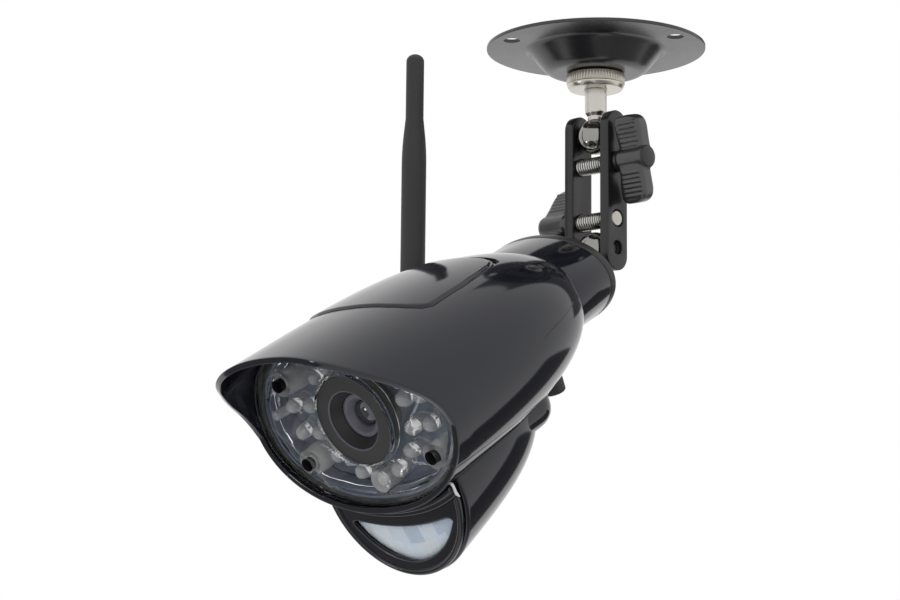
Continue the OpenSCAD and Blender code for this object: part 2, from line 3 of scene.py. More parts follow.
import bmesh
import bpy
import numpy as np
from mathutils import Matrix, Vector


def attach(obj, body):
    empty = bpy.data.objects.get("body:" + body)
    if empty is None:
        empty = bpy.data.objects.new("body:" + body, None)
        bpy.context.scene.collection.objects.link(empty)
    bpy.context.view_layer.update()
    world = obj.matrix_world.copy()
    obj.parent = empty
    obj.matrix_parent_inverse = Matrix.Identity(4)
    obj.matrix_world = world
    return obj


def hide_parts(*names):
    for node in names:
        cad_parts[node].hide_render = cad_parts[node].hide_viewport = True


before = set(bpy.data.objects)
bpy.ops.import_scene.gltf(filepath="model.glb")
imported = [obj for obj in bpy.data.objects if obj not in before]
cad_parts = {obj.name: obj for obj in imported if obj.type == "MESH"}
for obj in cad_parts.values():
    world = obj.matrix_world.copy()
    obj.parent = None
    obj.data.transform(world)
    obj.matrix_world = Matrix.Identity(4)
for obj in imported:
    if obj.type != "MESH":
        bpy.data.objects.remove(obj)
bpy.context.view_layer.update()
scene = bpy.context.scene
print("stage: frame loaded")

# places shared by the pieces, in mm; balls and clamp screws are heights under the ceiling
layout = {"tilt": 29.2, "lensToBall": 128.8, "ballRise": 2.9, "upperBall": -31.4, "lowerBall": -70.8,
    "upperScrew": -41.4, "lowerScrew": -60.8}
tilt = radians(layout["tilt"])
back = Vector((0, cos(tilt), sin(tilt)))
rise = Vector((0, -sin(tilt), cos(tilt)))
ballCentre = Vector((0, 0, layout["lowerBall"]))
lensCentre = ballCentre - back * layout["lensToBall"] - rise * layout["ballRise"]


def frameMatrix(x, y, z, origin):
    # from drawing axes in mm to the scene's metres
    m = Matrix.Identity(4)
    for i, axis in enumerate((x, y, z, origin)):
        for j in range(3):
            m[j][i] = axis[j] * 0.001
    return m


unitX = Vector((1, 0, 0))
atLens = frameMatrix(unitX, back, rise, lensCentre)  # x, backward, up
alongLens = frameMatrix(unitX, rise, -back, lensCentre)  # spun pieces, z runs forward
alongStud = frameMatrix(unitX, rise, -back, ballCentre)  # stud pieces, z runs forward from the ball
atRoot = Matrix.Scale(0.001, 4)


# mesh helpers
def addPiece(name, data):
    piece = bpy.data.objects.new(name, data)
    scene.collection.objects.link(piece)
    return piece


def newPiece(name, verts, faces):
    mesh = bpy.data.meshes.new(name)
    mesh.from_pydata([tuple(map(float, v)) for v in verts], [], faces)
    mesh.update()
    return addPiece(name, mesh)


def moved(piece, matrix):
    piece.data.transform(matrix)
    return piece


def shifted(piece, x, y, z):
    return moved(piece, Matrix.Translation((x, y, z)))


def standing(piece, y=0):
    # from (x, up, forward) drawing axes to x, backward, up
    return moved(piece, Matrix(((1, 0, 0, 0), (0, 0, -1, y), (0, 1, 0, 0), (0, 0, 0, 1))))


def facingSide(piece, x):
    # from a plate's drawing axes to a plate square to x
    return moved(piece, Matrix(((0, 0, 1, x), (1, 0, 0, 0), (0, 1, 0, 0), (0, 0, 0, 1))))


def tidyMesh(piece, outward=None):
    # merge doubles and point faces outward
    distance = 1e-4
    bm = bmesh.new()
    bm.from_mesh(piece.data)
    bmesh.ops.remove_doubles(bm, verts=bm.verts, dist=distance)
    bmesh.ops.dissolve_degenerate(bm, edges=bm.edges, dist=distance)
    bmesh.ops.recalc_face_normals(bm, faces=bm.faces)
    if outward is not None:  # open shell: faces look away from this point
        inside = Vector(outward)
        if sum((f.calc_center_median() - inside).dot(f.normal) * f.calc_area() for f in bm.faces) < 0:
            bmesh.ops.reverse_faces(bm, faces=bm.faces)
    bm.to_mesh(piece.data)
    bm.free()
    return piece


def gridPiece(name, rows, closed=False, outward=None):
    # skin through rows of points; a closed one wraps round and has both ends capped
    rows = np.asarray(rows, float)
    nr, nc = rows.shape[:2]
    faces = [(r * nc + c, r * nc + (c + 1) % nc, (r + 1) * nc + (c + 1) % nc, (r + 1) * nc + c)
        for r in range(nr - 1) for c in range(nc if closed else nc - 1)]
    if closed:
        faces += [tuple(range(nc - 1, -1, -1)), tuple((nr - 1) * nc + c for c in range(nc))]
    return tidyMesh(newPiece(name, rows.reshape(-1, 3), faces), outward)


def fullTurn(count):
    return np.linspace(0, 2 * pi, count, endpoint=False)


def tubePiece(name, rows):
    # ring of closed sections whose last row meets its first
    rows = np.asarray(rows, float)
    nc = rows.shape[1]
    faces = [(r * nc + c, r * nc + (c + 1) % nc, (r + 1) * nc + (c + 1) % nc, (r + 1) * nc + c)
        for r in range(len(rows) - 1) for c in range(nc)]
    return tidyMesh(newPiece(name, rows.reshape(-1, 3), faces))


def spinPiece(name, profile, segments=96):
    # closed outline of (radius, z) points turned about z
    turn, p = fullTurn(segments), np.asarray(profile, float)
    rows = np.stack([np.outer(np.cos(turn), p[:, 0]), np.outer(np.sin(turn), p[:, 0]),
        np.tile(p[:, 1], (segments, 1))], -1)
    return tubePiece(name, np.concatenate([rows, rows[:1]]))


def rounded(points, radius, steps=4, closed=True):
    # points with every corner rounded; radius is one number or one for each point
    pts = [Vector((p[0], p[1])) for p in points]
    n = len(pts)
    out = []
    for i, p in enumerate(pts):
        r = radius[i] if isinstance(radius, (list, tuple)) else radius
        a, b = pts[i - 1] - p, pts[(i + 1) % n] - p
        if not closed and i in (0, n - 1) or r <= 0 or min(a.length, b.length) < 1e-6:
            out.append((p.x, p.y))
            continue
        reach = min(r, a.length * 0.48, b.length * 0.48)
        s, e = p + a / a.length * reach, p + b / b.length * reach
        for q in (k / steps for k in range(steps + 1)):
            m = (1 - q) ** 2 * s + 2 * q * (1 - q) * p + q ** 2 * e
            out.append((m.x, m.y))
    return out


def applyModifiers(piece):
    graph = bpy.context.evaluated_depsgraph_get()
    mesh = bpy.data.meshes.new_from_object(piece.evaluated_get(graph))
    piece.modifiers.clear()
    old, piece.data = piece.data, mesh
    bpy.data.meshes.remove(old)
    return piece


def addModifier(piece, kind, **settings):
    mod = piece.modifiers.new(kind, kind)
    for key, value in settings.items():
        setattr(mod, key, value)
    return mod


def bevelEdges(piece, width, segments=2, angle=40):
    addModifier(piece, "BEVEL", width=width, segments=segments, limit_method="ANGLE",
        angle_limit=radians(angle), harden_normals=False)
    return applyModifiers(piece)


def thicken(piece, wall, innerSlot=0, even=True):
    addModifier(piece, "SOLIDIFY", thickness=wall, offset=-1, use_even_offset=even, material_offset=innerSlot,
        material_offset_rim=0)
    return applyModifiers(piece)


def cutWith(piece, tool):
    addModifier(piece, "BOOLEAN", operation="DIFFERENCE", solver="EXACT", object=tool)
    applyModifiers(piece)
    bpy.data.objects.remove(tool)
    return piece


def joinPieces(name, parts):
    bm = bmesh.new()
    for part in parts:
        bm.from_mesh(part.data)
    mesh = bpy.data.meshes.new(name)
    bm.to_mesh(mesh)
    bm.free()
    for part in parts:
        bpy.data.objects.remove(part)
    return addPiece(name, mesh)


def flatPlate(name, loops, thickness, edge=0.2, steps=2):
    # plate between z 0 and thickness; the first loop is the outline, the others are holes
    curve = bpy.data.curves.new(name, "CURVE")
    curve.dimensions, curve.fill_mode = "2D", "BOTH"
    for loop in loops:
        spline = curve.splines.new("POLY")
        spline.points.add(len(loop) - 1)
        for point, p in zip(spline.points, loop):
            point.co = (p[0], p[1], 0, 1)
        spline.use_cyclic_u = True
    curve.extrude = max(thickness / 2 - edge, 0)
    curve.bevel_depth, curve.offset, curve.bevel_resolution = edge, -edge, steps
    source = addPiece(name, curve)
    graph = bpy.context.evaluated_depsgraph_get()
    mesh = bpy.data.meshes.new_from_object(source.evaluated_get(graph))
    bpy.data.objects.remove(source)
    return tidyMesh(shifted(addPiece(name, mesh), 0, 0, thickness / 2))


def hoop(name, outer, inner, z0, z1, edge=0.25, steps=3):
    # ring between two loops of equal length, from z0 to z1, with rounded edges
    o, i = np.asarray(outer, float), np.asarray(inner, float)
    q = edge / max(np.linalg.norm(o - i, axis=1).mean(), 1e-6)
    path = []
    for cx, cz, a0 in ((1 - q, z0 + edge, -90), (1 - q, z1 - edge, 0), (q, z1 - edge, 90), (q, z0 + edge, 180)):
        for a in (radians(a0 + 90 * k / steps) for k in range(steps + 1)):
            path.append((cx + q * cos(a), cz + edge * sin(a)))
    rows = [[(i[n][0] + (o[n][0] - i[n][0]) * w, i[n][1] + (o[n][1] - i[n][1]) * w, z) for w, z in path]
        for n in range(len(o))]
    return tubePiece(name, rows + rows[:1])


def finish(piece, matrix, body, material, replaced=(), smooth=35):
    mesh = piece.data
    mesh.transform(matrix)
    mesh.shade_smooth()
    mesh.set_sharp_from_angle(angle=radians(smooth))
    for place, mat in enumerate(material if isinstance(material, (list, tuple)) else [material]):
        if place >= len(mesh.materials):
            mesh.materials.append(mat)
        elif mesh.materials[place] is None:
            mesh.materials[place] = mat
    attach(piece, body)
    if replaced:
        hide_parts(*replaced)


def steadyCurve(x, xs, ys):
    # smooth curve through a rising table without overshoot
    xs, ys = np.asarray(xs, float), np.asarray(ys, float)
    h = np.diff(xs)
    d = np.diff(ys) / h
    m = np.zeros(len(xs))
    m[0], m[-1] = d[0], d[-1]
    for i in range(1, len(xs) - 1):
        m[i] = 0 if d[i - 1] * d[i] <= 0 else 2 * d[i - 1] * d[i] / (d[i - 1] + d[i])
    x = np.clip(x, xs[0], xs[-1])
    i = np.clip(np.searchsorted(xs, x) - 1, 0, len(h) - 1)
    t = (x - xs[i]) / h[i]
    return ((1 + 2 * t) * (1 - t) ** 2 * ys[i] + t * (1 - t) ** 2 * h[i] * m[i] + t * t * (3 - 2 * t)
        * ys[i + 1] + t * t * (t - 1) * h[i] * m[i + 1])


def signedPower(u, power):
    return np.sign(u) * np.abs(u) ** power


def arch(x, halfWidth, power):
    # 1 in the middle, falling to 0 at the half width
    return np.clip(1 - np.abs(x / halfWidth) ** power, 0, 1) ** (1 / power)


# node helpers
def newGroup(name, kind, inputs, outputs):
    # an input is named with its default value, or with its kind where it has none
    group = bpy.data.node_groups.new(name, kind)
    kinds = {1: "Float", 3: "Vector", 4: "Color"}
    for label, value in inputs.items():
        known = value if isinstance(value, str) else kinds[np.size(value)]
        socket = group.interface.new_socket(label, in_out="INPUT", socket_type="NodeSocket" + known)
        if known != value:
            socket.default_value = value
    for label, known in outputs.items():
        group.interface.new_socket(label, in_out="OUTPUT", socket_type="NodeSocket" + known)
    return group, group.nodes.new("NodeGroupInput").outputs, group.nodes.new("NodeGroupOutput").inputs


def addNode(tree, kind, inputs=(), out=0, **props):
    # an input takes a value or another node's output; the answer is one of the new node's outputs
    node = tree.nodes.new(kind)
    for key, value in props.items():
        setattr(node, key, value)
    for socket, value in dict(inputs).items():
        if isinstance(value, bpy.types.NodeSocket):
            tree.links.new(value, node.inputs[socket])
        else:
            node.inputs[socket].default_value = value
    return node.outputs[out]


def shaderNode(tree, kind, inputs=(), out=0, **props):
    return addNode(tree, "ShaderNode" + kind, inputs, out, **props)


def maths(tree, operation, first, second, kind="Math", out=0, **props):
    return shaderNode(tree, kind, {0: first, 1: second}, out, operation=operation, **props)


def splitRays(tree, rays, usual, other):
    # the named kinds of ray meet another shader than the usual one
    path = shaderNode(tree, "LightPath").node.outputs
    pick = path[rays[0]]
    for ray in rays[1:]:
        pick = maths(tree, "MAXIMUM", pick, path[ray])
    mix = shaderNode(tree, "MixShader", {0: pick, 1: usual, 2: other})
    end = tree.nodes.get("Material Output") or tree.nodes["World Output"]
    tree.links.new(mix, end.inputs["Surface"])


# finishes
def makeMouldGrain():
    # fine pebbled skin left by a mould or by paint
    g, i, o = newGroup("mouldGrain", "ShaderNodeTree", {"Size": 900.0, "Depth": 0.1, "Wave": 0.0},
        {"Normal": "Vector"})
    place = shaderNode(g, "TexCoord", out="Object")
    fine = shaderNode(g, "TexNoise", {"Vector": place, "Scale": i["Size"], "Detail": 3.0, "Roughness": 0.6})
    broad = shaderNode(g, "TexNoise", {"Vector": place, "Scale": 60.0, "Detail": 1.0})
    wave = shaderNode(g, "Bump", {"Distance": 0.0004, "Height": broad, "Strength": i["Wave"]})
    bump = shaderNode(g, "Bump", {"Distance": 0.0001, "Height": fine, "Strength": i["Depth"], "Normal": wave})
    g.links.new(bump, o["Normal"])
    return g


def makeToneDrift():
    # slow drift of colour and gloss, with specks of dust
    g, i, o = newGroup("toneDrift", "ShaderNodeTree", {"Colour": (0.5, 0.5, 0.5, 1), "Gloss": 0.3,
        "Drift": 0.2, "Size": 40.0, "Dust": 0.1}, {"Colour": "Color", "Roughness": "Float"})
    place = shaderNode(g, "TexCoord", out="Object")
    slow = shaderNode(g, "TexNoise", {"Vector": place, "Scale": i["Size"], "Detail": 4.0, "Roughness": 0.55})
    specks = shaderNode(g, "TexNoise", {"Vector": place, "Scale": 2600.0, "Detail": 2.0})
    sharp = shaderNode(g, "MapRange", {"Value": specks, "From Min": 0.66, "From Max": 0.8})
    swing = shaderNode(g, "MapRange", {"Value": slow, "From Min": 0.3, "From Max": 0.7, "To Min": -1.0,
        "To Max": 1.0})
    bright = maths(g, "ADD", maths(g, "MULTIPLY", swing, i["Drift"]), 1.0)
    tone = maths(g, "MULTIPLY", i["Colour"], bright, "VectorMath")
    cover = maths(g, "MULTIPLY", sharp, i["Dust"])
    dusty = shaderNode(g, "Mix", {0: cover, 6: tone, 7: (0.35, 0.34, 0.32, 1)}, 2, data_type="RGBA")
    rough = maths(g, "ADD", maths(g, "MULTIPLY", i["Gloss"], bright), cover, use_clamp=True)
    g.links.new(dusty, o["Colour"])
    g.links.new(rough, o["Roughness"])
    return g


def makeEdgeSoft():
    # small radius on every edge
    g, i, o = newGroup("edgeSoft", "ShaderNodeTree", {"Normal": (0, 0, 0)}, {"Normal": "Vector"})
    g.links.new(shaderNode(g, "Bevel", {"Radius": 0.00025, "Normal": i["Normal"]}, samples=4), o["Normal"])
    return g


def makeValleyShadeMask():
    # 1 away from an axis and Dark close to it, painted shade for the valleys of threads and knurls
    g, i, o = newGroup("valleyShadeMask", "ShaderNodeTree", {"Origin": (0, 0, 0), "Axis": (0, 0, 1), "Low": 0.0,
        "High": 0.001, "Dark": 0.3}, {"Value": "Float"})
    arm = maths(g, "SUBTRACT", shaderNode(g, "TexCoord", out="Object"), i["Origin"], "VectorMath")
    along = maths(g, "DOT_PRODUCT", arm, i["Axis"], "VectorMath", "Value")
    run = shaderNode(g, "VectorMath", {0: i["Axis"], "Scale": along}, operation="SCALE")
    away = maths(g, "DISTANCE", arm, run, "VectorMath", "Value")
    level = shaderNode(g, "MapRange", {"Value": away, "From Min": i["Low"], "From Max": i["High"],
        "To Min": i["Dark"], "To Max": 1.0})
    g.links.new(level, o["Value"])
    return g


mouldGrain, toneDrift, edgeSoft, valleyShadeMask = makeMouldGrain(), makeToneDrift(), makeEdgeSoft(), makeValleyShadeMask()


def newMaterial(name):
    mat = bpy.data.materials.new(name)
    mat.use_nodes = True
    return mat, mat.node_tree, mat.node_tree.nodes["Principled BSDF"]


def addFinish(name, colour, rough, grain=(900, 0.1, 0), drift=(0.15, 40, 0.05), softEdges=False, grooveShade=None,
        **direct):
    # one material; direct values go on the shader's own sockets; the groove setting paints shade, darker close
    # to an axis
    mat, tree, shader = newMaterial(name)
    skin = shaderNode(tree, "Group", dict(zip(("Size", "Depth", "Wave"), grain)), node_tree=mouldGrain)
    shades = {"Colour": (*colour, 1), "Gloss": rough, **dict(zip(("Drift", "Size", "Dust"), drift))}
    tone = shaderNode(tree, "Group", shades, node_tree=toneDrift)
    tree.links.new(tone.node.outputs["Roughness"], shader.inputs["Roughness"])
    if grooveShade:
        origin, axis, low, high, dark = grooveShade
        mask = shaderNode(tree, "Group", {"Origin": Vector(origin) * 0.001, "Axis": axis, "Low": low * 0.001,
            "High": high * 0.001, "Dark": dark}, node_tree=valleyShadeMask)
        tone = maths(tree, "MULTIPLY", tone, mask, "VectorMath")
    if softEdges:
        skin = shaderNode(tree, "Group", {"Normal": skin}, node_tree=edgeSoft)
    tree.links.new(tone, shader.inputs["Base Color"])
    tree.links.new(skin, shader.inputs["Normal"])
    for key, value in direct.items():
        shader.inputs[key.replace("_", " ")].default_value = value
    return mat


def addMetal(name, colour, rough, grain, drift, softEdges=False, grooveShade=None):
    return addFinish(name, colour, rough, grain, drift, softEdges, grooveShade, Metallic=1.0)


def addClear(name, tint, rough, ior, passing=0.92, clearness=1.0):
    # clear plastic or glass that lets the light through to what is behind it
    mat = addFinish(name, tint, rough, (300, 0.02, 0), (0.05, 60, 0), IOR=ior, Transmission_Weight=clearness)
    tree = mat.node_tree
    through = shaderNode(tree, "BsdfTransparent", {"Color": (passing, passing, passing, 1)})
    splitRays(tree, ("Is Shadow Ray", "Is Diffuse Ray"), tree.nodes["Principled BSDF"].outputs[0], through)
    return mat


gloss = addFinish("glossBlackHousing", (0.0055, 0.0058, 0.0095), 0.1, (1500, 0.012, 0.02), (0.12, 25, 0.03),
    True, IOR=1.5, Specular_Tint=(0.95, 0.96, 1, 1))
hoodInside = addFinish("satinHoodInside", (0.028, 0.028, 0.029), 0.42, (1800, 0.12, 0))
satin = addFinish("satinBlackPlastic", (0.014, 0.014, 0.0145), 0.38, (1800, 0.1, 0), softEdges=True)
matte = addFinish("matteLensRing", (0.022, 0.022, 0.0235), 0.55, (2200, 0.1, 0), (0.1, 40, 0.04), True)
innerBlack = addFinish("innerBlack", (0.01, 0.01, 0.01), 0.6)
paintSkin = ((1300, 0.05, 0.03), (0.15, 50, 0.04), True)
flangePaint = addFinish("blackFlangePaint", (0.012, 0.012, 0.0135), 0.26, *paintSkin, IOR=1.63)
paint = addFinish("blackBracketPaint", (0.009, 0.009, 0.0105), 0.24, *paintSkin)
knobSkin = addFinish("knobBlackPlastic", (0.018, 0.0185, 0.02), 0.3, (1600, 0.08, 0), (0.15, 60, 0.06), True,
    IOR=1.75)
rubber = addFinish("antennaRubber", (0.02, 0.02, 0.0205), 0.6, (2000, 0.25, 0), (0.12, 50, 0.06))
nutSkin = ((1500, 0.04, 0), (0.08, 70, 0))
nickel = addMetal("nickelNut", (0.58, 0.55, 0.49), 0.25, *nutSkin)
knurlSkin = ((0.66, 0.63, 0.55), 0.28, *nutSkin, False)
# the knurl's valleys, between 9.74 and 9.98 mm from the axis, get painted shade
stemKnurl = addMetal("nickelKnurlStem", *knurlSkin, ((0, 0, 0), (0, 0, 1), 9.74, 9.98, 0.2))
studKnurl = addMetal("nickelKnurlStud", *knurlSkin, (ballCentre, back, 9.74, 9.98, 0.2))
stemNickel = addMetal("satinNickelRod", (0.6, 0.57, 0.53), 0.3, (1500, 0.03, 0), (0.05, 90, 0))
chrome = addMetal("polishedBall", (0.3, 0.295, 0.28), 0.09, (1200, 0.01, 0), (0.05, 70, 0))
screwDrift = (0.1, 90, 0)
zinc = addMetal("zincScrew", (0.5, 0.485, 0.43), 0.3, (1500, 0.06, 0), screwDrift)
# the thread valleys, within 2.5 to 2.86 mm of each screw's axis, get painted shade
threadFinish = {word: addMetal(word + "ThreadSteel", (0.62, 0.61, 0.58), 0.25, (1500, 0.05, 0), screwDrift,
    grooveShade=((0, 0, layout[word + "Screw"]), (1, 0, 0), 2.5, 2.86, 0.12)) for word in ("upper", "lower")}
# near-black finish painted into the bore mouths as shade
boreMouthShade = addFinish("boreMouthPaintedShade", (0.012, 0.012, 0.014), 0.6, IOR=1.2)
# steel screws at the bottom of the bores, coloured near black as painted shade
boreScrewShade = addFinish("boreScrewPaintedShade", (0.016, 0.014, 0.012), 0.5, (1500, 0.06, 0), screwDrift, IOR=1.3)
brass = addMetal("brassInsert", (0.62, 0.45, 0.2), 0.3, (1500, 0.05, 0), screwDrift, True)
tinned = addMetal("tinnedCan", (0.6, 0.6, 0.6), 0.35, (900, 0.08, 0), screwDrift, True)
# lit and shaded copies of the film's milky white, painted cell by cell as facet shading
filmCellShades = {"Cool": (0.91, 0.925, 0.97), "Grey": (0.69, 0.72, 0.8), "Pale": (1, 1, 1),
    "Warm": (0.93, 0.91, 0.88)}
pirShadedCopies = [addFinish("pirFilm" + word, tint, 0.38, (1200, 0.05, 0), (0.03, 60, 0.02), Subsurface_Weight=0.3,
    IOR=1.52) for word, tint in filmCellShades.items()]
lensGrey = addFinish("lensBarrelGrey", (0.13, 0.125, 0.15), 0.45, (1800, 0.1, 0), (0.1, 60, 0.03), True)
greenBoard = addFinish("greenBoard", (0.02, 0.09, 0.04), 0.4, (1400, 0.1, 0), (0.2, 200, 0))
slate = addFinish("slateBoardMask", (0.16, 0.188, 0.25), 0.5, (1600, 0.08, 0), (0.08, 150, 0.03), IOR=1.3)
ledMetal = addMetal("lampFrameMetal", (0.93, 0.92, 0.9), 0.14, (1500, 0.05, 0), (0.1, 400, 0))
clearWindow = addClear("clearWindowPlastic", (0.97, 0.98, 0.99), 0.02, 1.25)
clearLamp = addClear("clearLampResin", (0.97, 0.97, 0.95), 0.03, 1.5, 0.95, 0.74)
clearBoss = addClear("clearBossPlastic", (0.94, 0.93, 0.89), 0.05, 1.33, 0.92, 0.45)
lensGlass = addFinish("coatedLensGlass", (0.03, 0.036, 0.05), 0.06, (300, 0.01, 0), (0.1, 300, 0), IOR=1.6,
    Coat_Weight=0.5)
print("stage: finishes made")

# camera, floor and light
studio = {"place": (0.43981, -0.52298, -0.18701), "lens": 81.4785, "yaw": 0.7714265, "pitch": 0.1438338,
    "roll": 0.0099904, "floorDrop": -2.2}
yaw, pitch, roll = studio["yaw"], studio["pitch"], studio["roll"]
ahead = Vector((-sin(yaw) * cos(pitch), cos(yaw) * cos(pitch), sin(pitch)))
right = Vector((cos(yaw), sin(yaw), 0))
upward = right.cross(ahead)
axes = Matrix((right * cos(roll) + upward * sin(roll), upward * cos(roll) - right * sin(roll), -ahead))
cameraData = bpy.data.cameras.new("viewCamera")
cameraData.lens = studio["lens"]
cameraData.sensor_width = 36
cameraData.clip_start = 0.01
camera = addPiece("viewCamera", cameraData)
camera.matrix_world = Matrix.Translation(studio["place"]) @ axes.transposed().to_4x4()
scene.camera = camera
scene.view_settings.view_transform = "Standard"

seenRays = ("Is Camera Ray", "Is Glossy Ray", "Is Transmission Ray")
scene.world = bpy.data.worlds.new("studioWorld")
scene.world.use_nodes = True
sky = scene.world.node_tree
plain = sky.nodes["Background"]
plain.inputs["Color"].default_value = (0.75, 0.75, 0.76, 1)
plain.inputs["Strength"].default_value = 1.0
white = shaderNode(sky, "Background", {"Color": (1, 1, 1, 1), "Strength": 1.0})
splitRays(sky, seenRays, plain.outputs[0], white)


def stageFinish(name, shade, reflected):
    # plain stage surface that the camera and the reflections see at one even level
    mat, tree, shader = newMaterial(name)
    shader.inputs["Base Color"].default_value = (shade, shade, shade, 1)
    shader.inputs["Roughness"].default_value = 0.8
    even = shaderNode(tree, "Emission", {"Color": (reflected, reflected, reflected, 1), "Strength": 1.0})
    splitRays(tree, seenRays, shader.outputs[0], even)
    return mat


floor = newPiece("studioFloor", [(-9, -9, 0), (9, -9, 0), (9, 9, 0), (-9, 9, 0)], [(0, 1, 2, 3)])
shifted(floor, 0, 0, studio["floorDrop"]).data.materials.append(stageFinish("paleFloor", 0.8, 1.0))


def softBox(name, place, target, size, power):
    light = bpy.data.lights.new(name, "AREA")
    light.shape = "RECTANGLE"
    light.size = light.size_y = size
    light.energy = power
    lamp = addPiece(name, light)
    aim = (Vector(target) - Vector(place)).to_track_quat("-Z", "Y")
    lamp.matrix_world = Matrix.Translation(place) @ aim.to_matrix().to_4x4()
    lamp.visible_glossy = False  # the white surround gives the reflections


def darkCard(name, turn, low, high, span, shade, distance=1.6):
    # curved card that only reflections see; turn is measured from the way the lens looks
    x, y, z = middle
    rows = []
    for e in np.radians(np.linspace(low, high, 7)):
        rows.append([(x + distance * cos(e) * sin(a), y - distance * cos(e) * cos(a), z + distance * sin(e))
            for a in np.radians(np.linspace(turn - span / 2, turn + span / 2, 13))])
    card = gridPiece(name, rows)
    card.data.materials.append(stageFinish(name, shade, shade))
    card.visible_camera = card.visible_diffuse = card.visible_shadow = False


middle = (0, -0.06, -0.09)
softBox("overheadBox", (0.1, 0.1, 1.1), middle, 1.4, 9)
softBox("sideBox", (1.2, -0.9, 0.2), middle, 0.8, 4)
softBox("rearBox", (-0.9, 1.0, 0.4), middle, 1.0, 4)
darkCard("lowDarkCard", 172, -27, -2, 29, 0.12)
darkCard("highDarkCard", 194, 12, 66, 40, 0.15)
darkCard("frontLowCard", 303, -45, -20, 46, 0.3)
darkCard("deepDarkCard", 104, -74, -32, 128, 0.3)
darkCard("smallLampCard", 322, -31, -25, 8, 9.0, 1.1)
print("stage: camera and light set")

# housing
housing = {"halfWidth": 42.5, "halfHeight": 30.3, "reach": 23.3, "rim": 2.2, "front": -4, "rear": 89.5,
    "split": -16, "upperEnd": -87.3, "wall": 1.8, "topPower": 2.24, "lowPower": 2.1, "hoodLength": 31.3,
    "height": 0.3}
# each measure: its value where the hood starts and its change over the hood, then the body's value and change
measures = {"width": (42.6, -1.465, housing["halfWidth"], -0.025),
    "top": (30.084, 0.216, housing["halfHeight"], 0.054), "low": (30.18, 0.12, housing["halfHeight"], 0.03),
    "middle": (0.46, -0.16, housing["height"], -0.04)}


def bodySection(s):
    # half width, upper and lower half height and centre height at station s
    s, join = np.asarray(s, float), housing["front"]
    k = np.clip((join - s) / (housing["rear"] + join), 0, 0.999999)
    g = (1 - k ** 3) ** (1 / 3)
    f = np.clip((s - join) / housing["hoodLength"], 0, 1)

    def measure(key, share=1):
        hoodValue, hoodChange, value, change = measures[key]
        return np.where(s > join, hoodValue + hoodChange * f, (value + change * s) * share)

    return measure("width", g), measure("top", g), measure("low", g), measure("middle")


def bodyPoint(s, t):
    a, b, low, c = bodySection(s)
    u, v = np.cos(t), np.sin(t)
    power = 2 / np.where(v < 0, housing["lowPower"], housing["topPower"])
    return a * signedPower(u, power), c + np.where(v < 0, low, b) * signedPower(v, power)


def splitAngle(s, height):
    low, c = bodySection(s)[2:]
    return -np.arcsin(np.clip((c - height) / low, 0, 1) ** 1.05)


def bodyTop(x, s):
    a, b, _, c = bodySection(s)
    return c + b * arch(x, a, housing["topPower"])


hood = {"heights": [-3, 1.7, 6.9, 12.3, 17.6, 22, 25.8, 28.6, 36], "shares": [0, 0.07, 0.2, 0.405, 0.615, 0.8,
    0.925, 0.99, 1], "rounds": 8}


def hoodEdge(h):
    # how far forward the hood reaches at height h
    return housing["rim"] + (housing["reach"] - housing["rim"]) * steadyCurve(h, hood["heights"],
        hood["shares"])


def shellGrid(upper, height, rows, columns, power=1.7):
    # outer skin of one shell, from its front edge to where the other shell or the collar takes over
    u = np.linspace(0, 1, columns)

    def angle(s):
        edge = splitAngle(s, height)
        return edge + (pi - 2 * edge) * u if upper else pi - edge + (pi + 2 * edge) * u

    start = np.full(columns, float(housing["rim"]))
    if upper:
        for _ in range(hood["rounds"]):
            start = hoodEdge(bodyPoint(start, angle(start))[1])
        end = housing["upperEnd"]
    else:
        stations = np.linspace(-40, -88, 2000)
        low, c = bodySection(stations)[2:]
        end = stations[np.argmax(c - low > height)]
    grid = []
    for w in np.linspace(0, 1, rows):
        q = 1 - (1 - w) ** power
        s = start * (1 - q) + end * q
        x, h = bodyPoint(s, angle(s))
        grid.append(np.stack([x, -s, h], -1))
    return grid


tongue = {"lift": 0.7, "ledge": 0.12, "chamfer": 1.1, "seam": 0.22, "rearGap": 2.5,
    "front": [(0, -13), (8, -13.3), (15, -14), (21, -15.7), (25, -18)], "side": [(26.5, -21), (25.6, -37),
    (24, -48), (22.4, -54.6), (20.6, -57.8), (17.4, -59.7), (13.6, -60.3)]}


def tongueOutline(shrink, rearGap=0.0):
    # half outline from the front centre to the rear centre
    front = [(max(x - (shrink if x > 24 else 0), 0), s - shrink) for x, s in tongue["front"]]
    side = [(x - shrink, s + (shrink if s < -50 else 0)) for x, s in tongue["side"]]
    return [(x, s + (-rearGap if s < -57 else 0)) for x, s in front + side]


def edgeDistance(x, s, half):
    # distance from points to the tongue's outline
    x, best = np.abs(x), np.full(np.shape(x), 1e9)
    for (x0, s0), (x1, s1) in zip(half, half[1:] + [(0, half[-1][1])]):
        dx, ds = x1 - x0, s1 - s0
        t = np.clip(((x - x0) * dx + (s - s0) * ds) / max(dx * dx + ds * ds, 1e-9), 0, 1)
        best = np.minimum(best, np.hypot(x - x0 - t * dx, s - s0 - t * ds))
    return best


